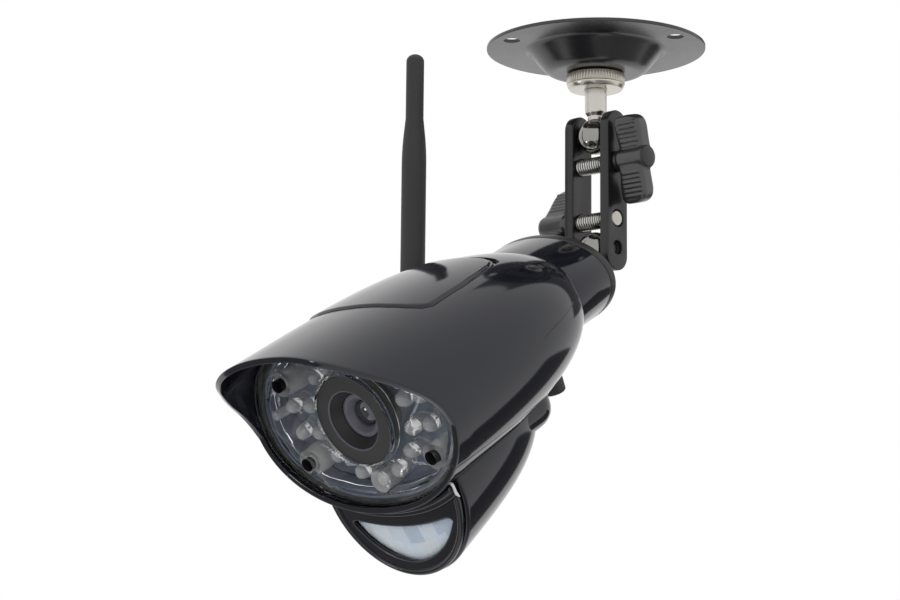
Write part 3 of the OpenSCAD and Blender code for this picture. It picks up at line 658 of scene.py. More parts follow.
def tongueSolid(name, shrink, rearGap, over, under):
    # slab that follows the housing's top inside the tongue outline; over gives the top's lift
    half = tongueOutline(shrink, rearGap)
    first, last = half[0][1], half[-1][1]
    reach = first - last
    steps = np.unique(np.concatenate([np.linspace(0, 1.6, 9), 1.6 + 3.6 * np.linspace(0, 1, 12),
        np.linspace(5.2, reach - 5, 44), reach - 5 + np.linspace(0, 3.6, 9), reach - np.linspace(1.4, 0, 9)]))
    stations = first - steps
    width = np.interp(steps, [first - s for _, s in half], [x for x, _ in half])
    width[0] = 0.3
    inner = np.linspace(-1, 1, 51)
    rim = np.linspace(0, 1, 12)
    rows = []
    for s, w in zip(stations, width):
        cut = min(1.3, w * 0.3)
        x = np.concatenate([-w + rim * cut, inner[1:-1] * (w - cut * 1.05), (w - rim * cut)[::-1]])
        h = bodyTop(x, s)
        top = h + over(edgeDistance(x, s, half), s)
        above = [(x[i], -s, top[i]) for i in range(len(x))]
        below = [(x[i], -s, h[i] + under) for i in range(len(x))]
        rows.append(above + below[::-1])
    return gridPiece(name, rows, closed=True)


def tongueTop(d, s):
    # a low ledge along the edge, then a soft rise that turns into a small wall towards the rear
    rear = np.clip((-s - 40) / 14, 0, 1)
    q = np.clip((d / tongue["chamfer"] - 0.68 * rear) / (1 - 0.8 * rear), 0, 1)
    return tongue["ledge"] + (tongue["lift"] - tongue["ledge"]) * (q * q * (3 - 2 * q)) ** 0.7


upperShell = gridPiece("upperShellSkin", shellGrid(True, housing["split"], 150, 200), outward=(0, 35, 0))
thicken(upperShell, housing["wall"], 1)
bevelEdges(upperShell, 0.35, 3, 55)
cutWith(upperShell, tongueSolid("tongueRecess", 0.0, tongue["rearGap"], lambda d, s: 4.0 + 0 * d, -0.9))
seam = {"back": [42, 49.9, 59.7, 67.9, 68.6], "h": [2.5, 4.0, 4.8, 5.6, 5.7], "width": 0.13, "steps": 60}
for side in (-1, 1):
    rows, ring = [], fullTurn(8)
    for s in np.linspace(-seam["back"][-1], -seam["back"][0], seam["steps"]):
        h = steadyCurve(-s, seam["back"], seam["h"])
        xs, hs = bodyPoint(np.full(400, s), np.linspace(-0.6, 0.9, 400))
        order = np.argsort(hs)
        x = np.interp(h, hs[order], xs[order])
        w = seam["width"] * min(1, s + seam["back"][-1] + 0.3, (-seam["back"][0] - s) / 9 + 0.15)
        rows.append(np.stack([side * (x + w * 0.9 * np.cos(ring)), np.full(8, -s), h + w * np.sin(ring)], -1))
    cutWith(upperShell, gridPiece("seamTool", rows, closed=True))
finish(upperShell, atLens, "camera", [gloss, hoodInside], ["upper_shell"])

topPanel = tongueSolid("topTongue", tongue["seam"], 0.0, tongueTop, -0.85)
finish(topPanel, atLens, "camera", gloss, ["top_panel"])

tail = {"front": -34, "start": -51, "end": -60, "height": -19.5, "round": 2.4, "corner": 2 / 3, "points": 96}
turn = fullTurn(tail["points"])
tailRows = []
for w in np.concatenate([np.linspace(0, 1, 12, endpoint=False), 1 + np.linspace(0, 1, 20) ** 0.7]):
    k = max(w - 1, 0)
    s = tail["front"] + (tail["start"] - tail["front"]) * min(w, 1) + (tail["end"] - tail["start"]) * k
    g = (1 - k ** tail["round"]) ** (1 / tail["round"])
    a, b = (15.2, 5.4) if k == 1 else (16 + 10 * g, 6 + 5.5 * g)
    h = tail["height"] + b * signedPower(np.sin(turn), tail["corner"])
    tailRows.append(np.stack([a * signedPower(np.cos(turn), tail["corner"]), np.full(len(turn), -s), h], -1))

lowerSkin = gridPiece("lowerShellSkin", shellGrid(False, housing["split"] - 0.1, 90, 140, 1.5),
    outward=(0, 35, -10))
thicken(lowerSkin, housing["wall"], 1)
bevelEdges(lowerSkin, 0.32, 2, 55)
tailBlock = gridPiece("tailBlock", tailRows, closed=True)
lowerShell = joinPieces("lowerShellSkins", [lowerSkin, tailBlock])
finish(lowerShell, atLens, "camera", [gloss, hoodInside], ["lower_shell"])
print("stage: shells made")

# rear collar and cap
collar = {"halfWidth": 28.1, "halfHeight": 16.4, "height": 2.9, "wall": 2.4, "rear": 101.3, "cap": 3,
    "front": 72, "points": 180}


def ellipseLoop(inset):
    t = fullTurn(collar["points"])
    h = collar["height"] + (collar["halfHeight"] - inset) * np.sin(t)
    return np.stack([(collar["halfWidth"] - inset) * np.cos(t), h], -1)


capSeat = -collar["rear"] + collar["cap"] + 0.12
rearCollar = hoop("rearCollarTube", ellipseLoop(0), ellipseLoop(collar["wall"]), capSeat, -collar["front"], 0.3)
finish(standing(rearCollar), atLens, "camera", gloss, ["rear_collar"])


def circleLoop(x, h, radius, count=48):
    return [(x + radius * cos(2 * pi * i / count), h + radius * sin(2 * pi * i / count)) for i in range(count)]


rearCap = standing(flatPlate("rearCapPlate", [ellipseLoop(0), circleLoop(0, 2.9, 7.05),
    circleLoop(17, 2.9, 2.6)], collar["cap"], 0.6, 4))
finish(shifted(rearCap, 0, collar["rear"], 0), atLens, "camera", satin, ["rear_cap"])

# sensor pod
pod = {"radius": 28, "front": -5, "back": 60, "height": -26, "rise": 12, "wall": 2.0, "nose": 1.4,
    "last": 0.9975, "ridges": ((1.5, -0.7), (3.1, -2.0)), "ridgeFoot": -3.9}


def insideBody(x, h, s, inset):
    a, _, low, c = bodySection(s)
    power = housing["lowPower"]
    return (np.abs(x / (a - inset)) ** power + np.abs((h - c) / (low - inset)) ** power < 1) | (h >= c)


podRows = []
lastShares = 1 - 0.28 * (1 - np.linspace(0, 1, 46)) ** 2.2
shares = np.concatenate([np.linspace(0, 0.03, 10), np.linspace(0.04, 0.72, 38), lastShares])
for k in np.unique(np.round(shares, 5)):
    along = k * (pod["back"] + pod["front"])
    nose = max(pod["nose"] - along, 0)
    r = pod["radius"] * (1 - k ** 4) ** 0.25 - (pod["nose"] - sqrt(pod["nose"] ** 2 - nose ** 2))
    c, s = pod["height"] + pod["rise"] * k, pod["front"] - along
    phi = np.linspace(0, pi * 0.8, 900)
    hit = insideBody(r * np.sin(phi), c - r * np.cos(phi), s, 0.9)
    limit = phi[np.argmax(hit)] if hit.any() else phi[-1]
    if k > pod["last"] or limit < 0.02:
        break
    arc = np.linspace(-1, 1, 161) * limit
    podRows.append(np.stack([r * np.sin(arc), np.full(len(arc), -s), c - r * np.cos(arc)], -1))

podShell = gridPiece("podShell", podRows, outward=(0, 25, -18))
thicken(podShell, pod["wall"])
bevelEdges(podShell, 0.3, 2, 55)
finish(podShell, atLens, "camera", gloss, ["pod_housing"])


def rimLoop(grow, x):
    # lower edge of the housing's front at x, moved outward by grow
    return housing["height"] - (housing["halfHeight"] + grow) * arch(x, housing["halfWidth"] + grow,
        housing["lowPower"])


def crescent(grow, radius, count=100):
    # outline between the housing's lower edge and the pod's circle
    phi = np.linspace(0, pi, 2000)
    x, h = radius * np.sin(phi), pod["height"] - radius * np.cos(phi)
    limit = phi[np.argmax((h > rimLoop(grow, x)) & (x < housing["halfWidth"] + grow) | (h > 0))]
    loop = [(radius * sin(p), pod["height"] - radius * cos(p)) for p in np.linspace(limit, -limit, count)]
    edge = radius * sin(limit)
    top = np.linspace(-edge, edge, count)[1:-1]
    return loop + list(zip(top, rimLoop(grow, top)))


pir = {"halfWidth": 21.6, "halfHeight": 16.7, "height": -32, "power": 1.7, "arcHeight": 40.6,
    "arcRadius": 77.8, "corner": 2.2}


def pirTop(x, grow=0.0):
    return pir["arcHeight"] - np.sqrt((pir["arcRadius"] - grow) ** 2 - x ** 2)


def pirBottom(x, grow=0.0):
    return pir["height"] - (pir["halfHeight"] + grow) * arch(x, pir["halfWidth"] + grow, pir["power"])


def pirLoop(grow=0.0, count=72):
    x = np.linspace(0, pir["halfWidth"] + grow, 4000)
    edge = x[np.argmax(pirBottom(x, grow) > pirTop(x, grow))]
    top = np.linspace(edge, -edge, count)
    low = -edge * np.cos(np.linspace(0, pi, count + 2)[1:-1])
    soft = pir["corner"]  # the two sharp corners are cut round
    tops, lows = ([(x, curve(x, grow)) for x in xs if abs(x) < edge - soft]
        for xs, curve in ((top, pirTop), (low, pirBottom)))
    corner = [(edge - 0.1, pirBottom(edge - soft * 0.25, grow)),
        (edge - soft * 0.35, pirTop(edge - soft * 0.6, grow) - 0.35)]
    radii = [soft, soft] + [0] * len(tops) + [soft, soft] + [0] * len(lows)
    return rounded(corner + tops + [(-x, h) for x, h in corner[::-1]] + lows, radii, 5), edge


pirOpening, pirEdge = pirLoop()
bezelPlate = flatPlate("bezelPlate", [crescent(0.15, pod["radius"] - 1.5), pirOpening], 1.6, 0.7, 5)
ridgePieces = [shifted(bezelPlate, 0, 0, pod["front"])]
for grow, top in pod["ridges"]:
    phi, radius, foot = np.linspace(0.4, 1.7, 3000), pod["radius"] - 0.75, pod["ridgeFoot"]
    limit = phi[np.argmax(pod["height"] - radius * np.cos(phi) > rimLoop(grow, radius * np.sin(phi)))]
    across = np.linspace(-1, 1, 120) * radius * sin(limit)
    strip = []
    for x, top0, low0 in zip(across, rimLoop(0.12, across), rimLoop(grow, across)):
        section = rounded([(low0, foot), (top0, foot), (top0, top), (low0, top)], [0, 0, 0.3, 0.45], 4)
        strip.append([(x, p[0], p[1]) for p in section])
    ridgePieces.append(gridPiece("ridge", strip, closed=True))
ridgePieces.append(hoop("podLip", crescent(3.3, pod["radius"] - 0.7), crescent(3.3, pod["radius"] - 2.6), -4.5,
    -2.6, 0.7, 5))
clip = {"path": [(25.6, -20.9), (26.9, -21.7), (27.7, -23.6), (27.9, -26.2), (28.9, -27.3)], "radius": 0.5,
    "place": -2.5}
clips = []
for side in (-1, 1):
    route = rounded([(side * x, h) for x, h in clip["path"]], 1.2, 5, False)
    rows = []
    for k, (x, h) in enumerate(route):
        run = Vector(route[min(k + 1, len(route) - 1)]) - Vector(route[max(k - 1, 0)])
        out = Vector((-run.y, run.x)).normalized()
        w = clip["radius"] * min(1, 0.35 + 0.4 * min(k, len(route) - 1 - k))
        rows.append([(x + out.x * w * cos(a), h + out.y * w * cos(a), clip["place"] + w * sin(a))
            for a in fullTurn(12)])
    clips.append(gridPiece("clip", rows, closed=True))
podBezel = standing(joinPieces("podBezelRings", ridgePieces))
finish(standing(joinPieces("bezelClips", clips)), atLens, "camera", tinned)
finish(podBezel, atLens, "camera", gloss, ["pod_bezel"])

film = {"columns": 6.4, "slant": 0.3, "rowSplit": 0.47, "below": 42, "aside": 21, "bulge": 1.1, "tilt": 0.2,
    "place": -5.9, "grow": 1.0, "cellShades": (0, 2, 0, 1, 0, 1, 1, 0, 2, 2, 0, 3, 0, 1, 1)}


def filmColumn(x, h, edge, lower):
    # place among the film's slanted columns, half a column further in the lower row
    return (x + (h + film["below"]) * film["slant"] + film["aside"]) / (2 * edge
        / film["columns"]) + 0.5 * lower


filmEdge = pirLoop(film["grow"])[1]
across = np.linspace(-1, 1, 260) * (filmEdge - 0.02)
low, top = pirBottom(across, film["grow"]), pirTop(across, film["grow"])
filmRows = []
for w in np.linspace(0, 1, 110):
    h = low + (top - low) * w
    column = filmColumn(across, h, filmEdge, w < film["rowSplit"])
    crown = film["bulge"] * (1 - (across / filmEdge) ** 2) * np.clip(4 * w * (1 - w), 0, 1) ** 0.5
    ridge = film["tilt"] * (column - np.floor(column) - 0.5) * np.clip(6 * w * (1 - w), 0, 1)
    filmRows.append(np.stack([across, h, film["place"] + crown + ridge], -1))
pirFilm = gridPiece("pirFilm", filmRows, outward=(0, -40, -40))
thicken(pirFilm, 0.6, even=False)
# each cell of the film gets one of the painted facet shades
for polygon in pirFilm.data.polygons:
    x, h, _ = polygon.center
    low, top = pirBottom(x, film["grow"]), pirTop(x, film["grow"])
    lower = (h - low) / max(top - low, 0.01) < film["rowSplit"]
    place = int(filmColumn(x, h, pirEdge, lower)) + 7 * lower
    polygon.material_index = film["cellShades"][place % len(film["cellShades"])]
finish(standing(pirFilm), atLens, "camera", pirShadedCopies, ["pir_lens"], 60)
print("stage: pod made")


# repeated parts through geometry nodes
def newSpread(name, inputs):
    kinds = {"Geometry": "Geometry", "Unit": "Object", **inputs, "Material": "Material"}
    return newGroup(name, "GeometryNodeTree", kinds, {"Geometry": "Geometry"})


def closeSpread(group, i, o, points, turn, size=None, keepBody=True):
    # set the unit on the points, make it real, join it to the body and give it the finish
    unit = addNode(group, "GeometryNodeObjectInfo", {"Object": i["Unit"]}, "Geometry")
    places = {"Points": points, "Instance": unit, "Rotation": turn}
    if size is not None:
        places["Scale"] = size
    copies = addNode(group, "GeometryNodeInstanceOnPoints", places)
    out = addNode(group, "GeometryNodeRealizeInstances", {0: copies})
    if keepBody:
        join = addNode(group, "GeometryNodeJoinGeometry", {0: out}).node
        group.links.new(i["Geometry"], join.inputs[0])
        out = join.outputs[0]
    skin = addNode(group, "GeometryNodeSetMaterial", {"Geometry": out, "Material": i["Material"]})
    group.links.new(skin, o["Geometry"])
    return group


def makeRingSpread():
    # units round the z axis
    g, i, o = newSpread("ringSpread", {"Count": "Int", "Radius": "Float", "Height": "Float"})
    ring = addNode(g, "GeometryNodeMeshCircle", {"Vertices": i["Count"], "Radius": i["Radius"]})
    lift = shaderNode(g, "CombineXYZ", {"Z": i["Height"]})
    move = addNode(g, "GeometryNodeSetPosition", {"Geometry": ring, "Offset": lift})
    share = maths(g, "DIVIDE", addNode(g, "GeometryNodeInputIndex"), i["Count"])
    turn = shaderNode(g, "CombineXYZ", {"Z": maths(g, "MULTIPLY", share, 2 * pi)})
    return closeSpread(g, i, o, move, turn)


def makeRowSpread():
    # units in a row, each a little different in size
    g, i, o = newSpread("rowSpread", {"Count": "Int", "Start": "Vector", "Step": "Vector", "Wobble": "Float",
        "Seed": "Int"})
    row = addNode(g, "GeometryNodeMeshLine", {"Count": i["Count"], "Start Location": i["Start"],
        "Offset": i["Step"]})
    least = maths(g, "SUBTRACT", 1.0, i["Wobble"])
    size = addNode(g, "FunctionNodeRandomValue", {2: least, 3: 1.0, "Seed": i["Seed"]}, 1)
    return closeSpread(g, i, o, row, shaderNode(g, "CombineXYZ"), size)


def makeSpotSpread():
    # units on the body's own points, each turned by chance
    g, i, o = newSpread("spotSpread", {"Twist": "Float", "Seed": "Int"})
    chance = addNode(g, "FunctionNodeRandomValue", {3: i["Twist"], "Seed": i["Seed"]}, 1)
    return closeSpread(g, i, o, i["Geometry"], shaderNode(g, "CombineXYZ", {"Z": chance}), keepBody=False)


ringSpread, rowSpread, spotSpread = makeRingSpread(), makeRowSpread(), makeSpotSpread()


def spread(piece, group, **values):
    # run one of the groups on a piece and keep the plain mesh
    mod = addModifier(piece, "NODES", node_group=group)
    for item in group.interface.items_tree:
        if item.in_out == "INPUT" and item.name in values:
            mod[item.identifier] = values[item.name]
    applyModifiers(piece)
    bpy.data.objects.remove(values["Unit"])
    return piece


def takeSolid(node, name, width):
    # copy of a CAD solid in mm, merged and with rounded edges
    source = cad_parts[node]
    mesh = source.data.copy()
    mesh.transform(Matrix.Scale(1000, 4) @ source.matrix_world)
    mesh.materials.clear()
    piece = addPiece(name, mesh)
    bm = bmesh.new()
    bm.from_mesh(mesh)
    bmesh.ops.remove_doubles(bm, verts=bm.verts, dist=0.002)
    bmesh.ops.dissolve_limit(bm, angle_limit=0.01, verts=bm.verts, edges=bm.edges)
    bm.to_mesh(mesh)
    bm.free()
    for layer in list(mesh.uv_layers):
        mesh.uv_layers.remove(layer)
    return bevelEdges(piece, width)


def softSolid(node, name, width, body, mat):
    # CAD solid that only needs its edges rounded
    finish(takeSolid(node, name, width), atRoot, body, mat, [node])


def markFaces(piece, test, index=1):
    # give the faces whose centre passes the test another finish
    for polygon in piece.data.polygons:
        if test(polygon.center):
            polygon.material_index = index
    return piece


# ceiling bracket
flangeSize = {"hole": 5.6, "circle": 31.75, "turns": (7, 127, 247)}
flange = spinPiece("ceilingFlangeDish",
    rounded([(3.75, -8.2), (15.9, -8.2), (21.7, -1.2), (22.5, 0), (37.5, 0), (37.5, -1.2), (24.1, -1.2),
    (22.9, -2.0), (16.5, -9.4), (3.75, -9.4)], [0.1, 1.0, 1.2, 1.0, 0.3, 0.3, 2.6, 1.2, 2.6, 0.1], 7), 160)
for turn in flangeSize["turns"]:
    a, r = radians(turn), flangeSize["hole"] / 2
    drill = spinPiece("drill", [(0, -3), (r, -3), (r, 2), (0, 2)], 48)
    cutWith(flange, shifted(drill, flangeSize["circle"] * cos(a), flangeSize["circle"] * sin(a), 0))
finish(flange, atRoot, "flange", flangePaint, ["ceiling_flange"], 30)

stemSize = {"rod": 3.7, "neck": 2.7, "ball": 6.2, "top": -1.5, "rounding": [0.5, 0.6, 0.4, 0],
    "plated": -0.0252}
rod, neck = stemSize["rod"], stemSize["neck"]


def ballArc(centre, steps=40):
    # outline of a ball from its lowest point to the neck
    r = stemSize["ball"]
    return [(r * sin(a), centre - r * cos(a)) for a in np.linspace(0, pi - asin(neck / r), steps)]


stem = spinPiece("stemBallRod", ballArc(layout["upperBall"])
    + rounded([(neck, -24.4), (rod, -23.1), (rod, stemSize["top"]), (0, stemSize["top"])],
    stemSize["rounding"], 4, False), 96)
finish(stem, atRoot, "stem", [stemNickel, chrome], ["stem"])
markFaces(stem, lambda p: p.z < stemSize["plated"])

nutSize = {"bore": 3.75, "radius": 9.7, "ridges": 60, "ridge": 0.28, "height": 0.3}


def knurledNut(name, finishMat):
    # nut from its flat seat at z 0 down to its chamfered end
    r = nutSize["radius"]
    nut = spinPiece(name, rounded([(nutSize["bore"], 0), (r - 0.4, 0), (r, -0.35), (r, -3.7), (r + 0.1, -3.85),
        (r + 0.1, -4.25), (9.0, -5.6), (4.3, -5.6), (nutSize["bore"], -5.1)],
        [0.05, 0.1, 0.1, 0.05, 0.1, 0.2, 0.35, 0.2, 0.1], 3), 132)
    w, tall = nutSize["ridge"], nutSize["height"]
    unit = newPiece("ridgeUnit", [(x, y, z) for z, k in ((-0.35, 0.3), (-0.6, 1), (-3.4, 1), (-3.7, 0.3))
        for x, y in ((-0.2, -w), (tall * k, -w * 0.4), (tall * k, w * 0.4), (-0.2, w))],
        [(4 * k + i, 4 * k + (i + 1) % 4, 4 * k + 4 + (i + 1) % 4, 4 * k + 4 + i) for k in range(3)
        for i in range(4)] + [(3, 2, 1, 0), (12, 13, 14, 15)])
    tidyMesh(unit)
    spread(nut, ringSpread, Unit=unit, Count=nutSize["ridges"], Radius=r, Height=0.0, Material=finishMat)
    return markFaces(nut, lambda p: hypot(p.x, p.y) > r - 0.05 and -3.75 < p.z < -0.33)


stemNut = shifted(knurledNut("stemKnurledNut", nickel), 0, 0, -9.5)
finish(stemNut, atRoot, "stem_nut", [nickel, stemKnurl], ["stem_lock_nut"], 30)

plateSize = {"half": 5.2, "top": -23.6, "low": -78.6, "inner": 6.05, "thickness": 3.6, "seat": 4.7, "bore": 5.9}


def clampPlate(name, side):
    half, thick = plateSize["half"], plateSize["thickness"]
    top, low = plateSize["top"] - half, plateSize["low"] + half
    outline = [(end * half * cos(a), h + end * half * sin(a)) for end, h in ((1, top), (-1, low))
        for a in np.linspace(0, pi, 25)]
    seats = (layout["upperBall"], layout["lowerBall"])[side > 0:]
    holes = [circleLoop(0, h, plateSize["seat"] / 2, 40) for h in seats]
    holes += [circleLoop(0, layout[screw], plateSize["bore"] / 2, 40) for screw in ("upperScrew", "lowerScrew")]
    parts = [flatPlate(name, [outline] + holes, thick, 0.45, 4)]
    for h in seats:  # thin web that closes the ball seat
        parts.append(shifted(spinPiece("web", [(0, 1.6), (2.5, 1.6), (2.5, 1.9), (0, 1.9)], 32), 0, h, 0))
    return facingSide(joinPieces(name, parts), plateSize["inner"] if side > 0 else -plateSize["inner"] - thick)


for side, word in ((-1, "left"), (1, "right")):
    finish(clampPlate(word + "ClampPlate", side), atRoot, "clamp", paint,
        ["clamp_plate_" + word])

screwSize = {"radius": 2.9, "pitch": 1.0, "depth": 0.42, "length": 24.1, "start": -9.45, "points": 40,
    "steps": 8, "threaded": (-9.3, 14.5)}


def threadedRod(name):
    # rod along z with a screw thread and chamfered ends
    radius, pitch, length = screwSize["radius"], screwSize["pitch"], screwSize["length"]
    rows, turn = [], fullTurn(screwSize["points"])
    for z in np.linspace(0, length, int(length / pitch * screwSize["steps"])):
        phase = (z / pitch - turn / (2 * pi)) % 1
        r = radius - screwSize["depth"] * np.clip(1.25 * np.abs(1 - 2 * phase) - 0.125, 0, 1)
        r = np.minimum(r, radius - 0.55 + min(z, length - z) * 1.1)
        rows.append(np.stack([r * np.cos(turn), r * np.sin(turn), np.full(len(turn), z)], -1))
    return gridPiece(name, rows, closed=True)


knobSize = {"stand": 9.75, "base": 2.0, "depth": 10.6, "wing": 6.4, "inset": -4.1, "length": 30.0, "hub": 4.1,
    "rib": 0.62, "pitch": 1.55, "ribs": 6, "voxel": 0.27, "soften": 5}


def knobBody(name):
    # hand knob with two soft ribbed wings, standing on z 0
    k = knobSize
    z0, z1, hub, end = k["base"], k["base"] + k["depth"], k["hub"], k["length"] / 2 - 0.1
    parts = [spinPiece("hub", rounded([(0, 0), (3.6, 0), (3.6, z0), (hub, z0 + 0.4), (hub, z1 - 1.0),
        (hub, z1 + 0.2), (0, z1 + 0.2)], [0, 0.2, 0.3, 0.8, 1.0, 0.6, 0], 5), 56)]
    y0, y1 = k["inset"] + 0.42, k["inset"] + k["wing"] - 0.42
    outline = rounded([(-1.5, z0), (5.4, z0 + 0.5), (8.5, z0 - 0.2), (end, z0 - 0.2), (end, z1 - 0.1),
        (4.0, z1 - 0.3), (-1.5, z1 + 0.1)], [0, 2.5, 2.5, 3.4, 6.0, 2.5, 0], 10)
    half, r = (z1 - z0) / 2 - 1.7, k["rib"]
    ribCurve = ([(0, -half - r)] + [(r * sin(a), -half - r * cos(a)) for a in (0.5, 1.1)]
        + [(r, -half), (r, half)] + [(r * cos(a), half + r * sin(a)) for a in (0.5, 1.1)] + [(0, half + r)])
    for turned in (0, pi):
        wing = standing(flatPlate("wing", [outline], y1 - y0, 1.3, 4), y1)
        for face, sign in ((y0, -1), (y1, 1)):
            start = ((k["length"] - k["wing"]) / 2 + 0.5, face - sign * 0.2, (z0 + z1) / 2)
            spread(wing, rowSpread, Unit=spinPiece("ribUnit", ribCurve, 16), Count=k["ribs"], Start=start,
                Step=(-k["pitch"], 0, 0), Wobble=0.14, Seed=int(3 + face), Material=knobSkin)
        parts.append(moved(wing, Matrix.Rotation(turned, 4, "Z")))
    knob = joinPieces(name, parts)
    addModifier(knob, "REMESH", mode="VOXEL", voxel_size=k["voxel"])
    addModifier(knob, "SMOOTH", iterations=k["soften"])
    applyModifiers(knob)
    return cutWith(knob, spinPiece("bore", [(0, -2), (2.97, -2), (2.97, 5), (0, 5)], 40))


def knobCap(name):
    z = knobSize["base"] + knobSize["depth"]
    return spinPiece(name, rounded([(0, z - 0.9), (3.9, z - 0.9), (3.9, z + 0.3), (3.3, z + 0.85),
        (1.9, z + 1.2), (0.05, z + 1.3)], [0, 0.1, 0.5, 0.6, 0.8, 0], 5), 64)


for word, side, turn in (("upper", 1, 14), ("lower", -1, 35)):
    body = word + "_clamp_screw"  # its drawing axes have z running outward along x
    aim = Matrix.Translation((0, 0, layout[word + "Screw"])) @ Matrix.Rotation(side * pi / 2, 4, "Y")
    screw = moved(threadedRod(word + "ClampScrew"), aim @ Matrix.Translation((0, 0, screwSize["start"])))
    markFaces(screw, lambda p: not screwSize["threaded"][0] < side * p.x < screwSize["threaded"][1])
    finish(screw, atRoot, body, [threadFinish[word], zinc], [word + "_screw"], 40)
    stand = aim @ Matrix.Translation((0, 0, knobSize["stand"])) @ Matrix.Rotation(radians(turn), 4, "Z")
    finish(moved(knobBody(word + "HandKnob"), stand), atRoot, body, knobSkin, [word + "_knob"],
        70)
    finish(moved(knobCap(word + "KnobCap"), stand), atRoot, body, satin, [word + "_cap"])

stud = spinPiece("cameraBallStud", [(r, -z) for r, z in ballArc(0)]
    + rounded([(neck, -7.0), (rod, -8.3), (rod, -35.5), (0, -35.5)], stemSize["rounding"], 4, False), 96)
tidyMesh(moved(stud, Matrix.Scale(-1, 4, (0, 0, 1))))
markFaces(stud, lambda p: p.z < 6)
finish(stud, alongStud, "stud", [stemNickel, chrome], ["camera_stud"])
studNut = shifted(knurledNut("studKnurledNut", nickel), 0, 0, 27.4)
finish(studNut, alongStud, "stud_nut", [nickel, studKnurl], ["camera_lock_nut"], 30)
print("stage: bracket made")

# window, lamps and lens
boss = {"x": 26.6, "h": 13.2, "radius": 4.3, "front": -1.45, "bore": 2.3, "mouth": -2.4}
window = takeSolid("front_window", "frontWindowPlate", 0.14)
for mat in (clearWindow, clearBoss, boreMouthShade):
    window.data.materials.append(mat)
toWindow = (Matrix.Scale(1000, 4) @ atLens).inverted()


def fromBoss(p):
    # depth, and distance from the nearest screw boss's axis
    q = toWindow @ p
    return -q.y, hypot(abs(q.x) - boss["x"], abs(q.z) - boss["h"])


def cutBores(piece):
    # ring of edges inside each bore, where its painted shade at the mouth ends
    bm = bmesh.new()
    bm.from_mesh(piece.data)
    bores = [f for f in bm.faces if fromBoss(f.calc_center_median())[1] < boss["bore"]]
    edges = dict.fromkeys(e for f in bores for e in f.edges)
    corners = dict.fromkeys(v for f in bores for v in f.verts)
    level = toWindow.inverted() @ Vector((0, -boss["mouth"], 0))
    bmesh.ops.bisect_plane(bm, geom=bores + list(edges) + list(corners), dist=0.0001, plane_no=back,
        plane_co=level)
    bm.to_mesh(piece.data)
    bm.free()


cutBores(window)
markFaces(window, lambda p: fromBoss(p)[0] < boss["front"] and fromBoss(p)[1] < boss["radius"])
# the first part of each bore gets the painted shade
markFaces(window, lambda p: fromBoss(p)[0] > boss["mouth"] and fromBoss(p)[1] < boss["bore"], 2)
finish(window, atRoot, "camera", clearWindow, ["front_window"])
softSolid("window_frame", "windowFrameRing", 0.25, "camera", slate)
softSolid("window_gasket", "windowGasketRing", 0.2, "camera", rubber)

lamps = {"spots": ((27.4, 5), (27.4, -4), (20, 4.6), (20, -4.4), (15.8, -12.1), (7.9, -18), (13.5, 13.8),
    (6.8, 16.6)), "seat": -10.1, "radius": 2.5, "straight": 6.1, "seed": 7}


def lampPoints(name):
    return newPiece(name, [(side * x, h, lamps["seat"]) for x, h in lamps["spots"] for side in (-1, 1)], [])


# cup and posts inside one lamp
cup = spinPiece("lampUnit", [(0, 3.3), (0.4, 3.3), (1.55, 4.3), (1.75, 4.3), (1.75, 4.0), (0.6, 2.8),
    (0, 2.8)], 20)
posts = [flatPlate("post", [[(x - w, 0.1), (x + w, 0.1), (x + w, high), (x - w, high)]], 0.5, 0.08, 1)
    for x, high, w in ((-0.6, 3.0, 0.4), (1.3, 5.4, 0.35))]
lampFrame = joinPieces("lampUnit", [cup] + [standing(post, 0.25) for post in posts])
dome = [(lamps["radius"] * cos(a), lamps["straight"] + lamps["radius"] * sin(a))
    for a in np.linspace(0, pi / 2, 12)]
lampShell = spinPiece("lampUnit", [(0, 0), (2.9, 0), (2.9, 0.85), (2.75, 1.0), (2.5, 1.0)] + dome[:-1]
    + [(0, dome[-1][1])], 32)
irLamps = spread(lampPoints("infraredLamps"), spotSpread, Unit=lampShell, Twist=6.28, Seed=lamps["seed"],
    Material=clearLamp)
finish(irLamps, alongLens, "camera", clearLamp, ["ir_lamps"])
lampFrames = spread(lampPoints("lampFrames"), spotSpread, Unit=lampFrame, Twist=6.28, Seed=lamps["seed"],
    Material=ledMetal)
sensorCup = spinPiece("sensorCup", [(0, -4.2), (0.9, -4.2), (1.0, -4.0), (1.4, -4.0), (1.5, -4.6), (1.5, -8.8),
    (0, -8.8)], 40)
lampFrames = joinPieces("lampFrames", [lampFrames, shifted(sensorCup, 0, -20.9, 0)])
finish(lampFrames, alongLens, "camera", ledMetal)

shroud = spinPiece("lensShroudRing",
    rounded([(14.45, 0.4), (14.45, -1.6), (10.4, -1.6), (10.4, -10.1), (9, -10.1), (9, -4.4), (7.1, -4.4),
    (7.1, -3.2), (9.4, -0.2), (9.4, 0.4)], [0.35, 0.1, 0.1, 0.1, 0.1, 0.1, 0.1, 0.3, 0.1, 0.3], 4), 120)
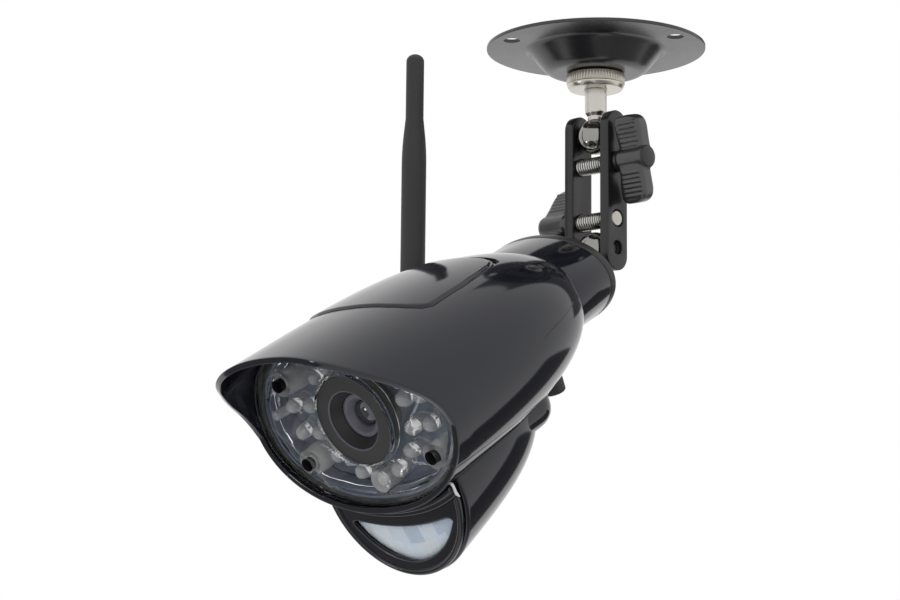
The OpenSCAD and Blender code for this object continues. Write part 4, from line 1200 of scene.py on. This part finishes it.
# thin band on the ring's inner rim gets the lighter grey as a painted highlight
markFaces(shroud, lambda p: 9.3 < hypot(p.x, p.y) < 9.72 and p.z > -0.1)
finish(shroud, alongLens, "camera", [matte, lensGrey], ["lens_shroud"], 30)
barrel = spinPiece("lensBarrelTube", rounded([(7, -3.3), (7, -16), (6, -16), (6, -24), (3, -24), (3, -9),
    (4.3, -9), (4.3, -5.2), (5.8, -3.3)], [0.2, 0.1, 0.1, 0.1, 0.1, 0.05, 0.05, 0.3, 0.3], 4), 96)
finish(barrel, alongLens, "camera", lensGrey, ["lens_barrel"], 30)
eye = spinPiece("lensGlassDome", [(0, -9), (4.2, -9), (4.25, -8.9), (4.25, -6.4)]
    + [(4.25 * sin(a), -6.4 + 1.7 * cos(a)) for a in np.linspace(1.45, 0.0, 24)], 80)
finish(eye, alongLens, "camera", lensGlass, ["lens_glass"], 60)

# antenna
aerial = {"place": (-49, -38.789, -92.364), "sleeve": 4.25, "tip": 3.1, "low": 5.8, "shoulder": 57.3,
    "thin": 68.25, "end": 91, "knuckle": 3.9, "width": 3.6, "tipRise": 2.6, "lugTop": 6.6}
sleeve, thin, tip, knuckle = aerial["sleeve"], aerial["thin"], aerial["tip"], aerial["knuckle"]
tipArc = [(tip * cos(a), aerial["end"] - aerial["tipRise"] + aerial["tipRise"] * sin(a))
    for a in np.linspace(0, pi / 2, 12)]
whip = spinPiece("antennaWhipSleeve",
    rounded([(0, aerial["low"]), (sleeve, aerial["low"]), (sleeve, aerial["shoulder"]), (tip, thin)],
    [0, 0.7, 9, 0], 8, False)[:-1] + [(tip, thin)] + tipArc[:-1] + [(0, aerial["end"])], 64)
lugCurve = [(knuckle * cos(a), knuckle * sin(a)) for a in np.linspace(pi, 2 * pi, 33)]
lug = flatPlate("lug", [lugCurve + [(knuckle, aerial["lugTop"]), (-knuckle, aerial["lugTop"])]],
    aerial["width"], 0.4, 3)
whip = joinPieces("antennaWhipSleeve", [whip, facingSide(lug, -aerial["width"] / 2)])
finish(moved(whip, Matrix.Translation(aerial["place"])), atRoot, "whip", rubber, ["antenna_whip"])

softSolid("antenna_elbow", "antennaElbowFork", 0.3, "elbow", satin)
softSolid("led_board", "slateLampBoard", 0.1, "camera", slate)
softSolid("light_sensor", "lightSensorLens", 0.3, "camera", clearLamp)
softSolid("status_pipe", "statusLightPipe", 0.2, "camera", clearLamp)
softSolid("pairing_button", "pairingButtonCap", 0.3, "button", satin)
softSolid("jack_boot", "jackBootSleeve", 0.3, "camera", rubber)
print("stage: window and antenna made")

# finishes on the solids that stay as they are
for mat, nodes in ((zinc, "flange_nut shell_screws"), (brass, "stud_insert antenna_socket"),
        (boreScrewShade, "window_screws"), (innerBlack, "lens_mount board_carrier power_jack"),
        (greenBoard, "image_sensor main_board pir_board button_switch"), (tinned, "radio_shield pir_sensor")):
    for node in nodes.split():
        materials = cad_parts[node].data.materials
        materials.clear()
        materials.append(mat)
print("stage: solids finished")
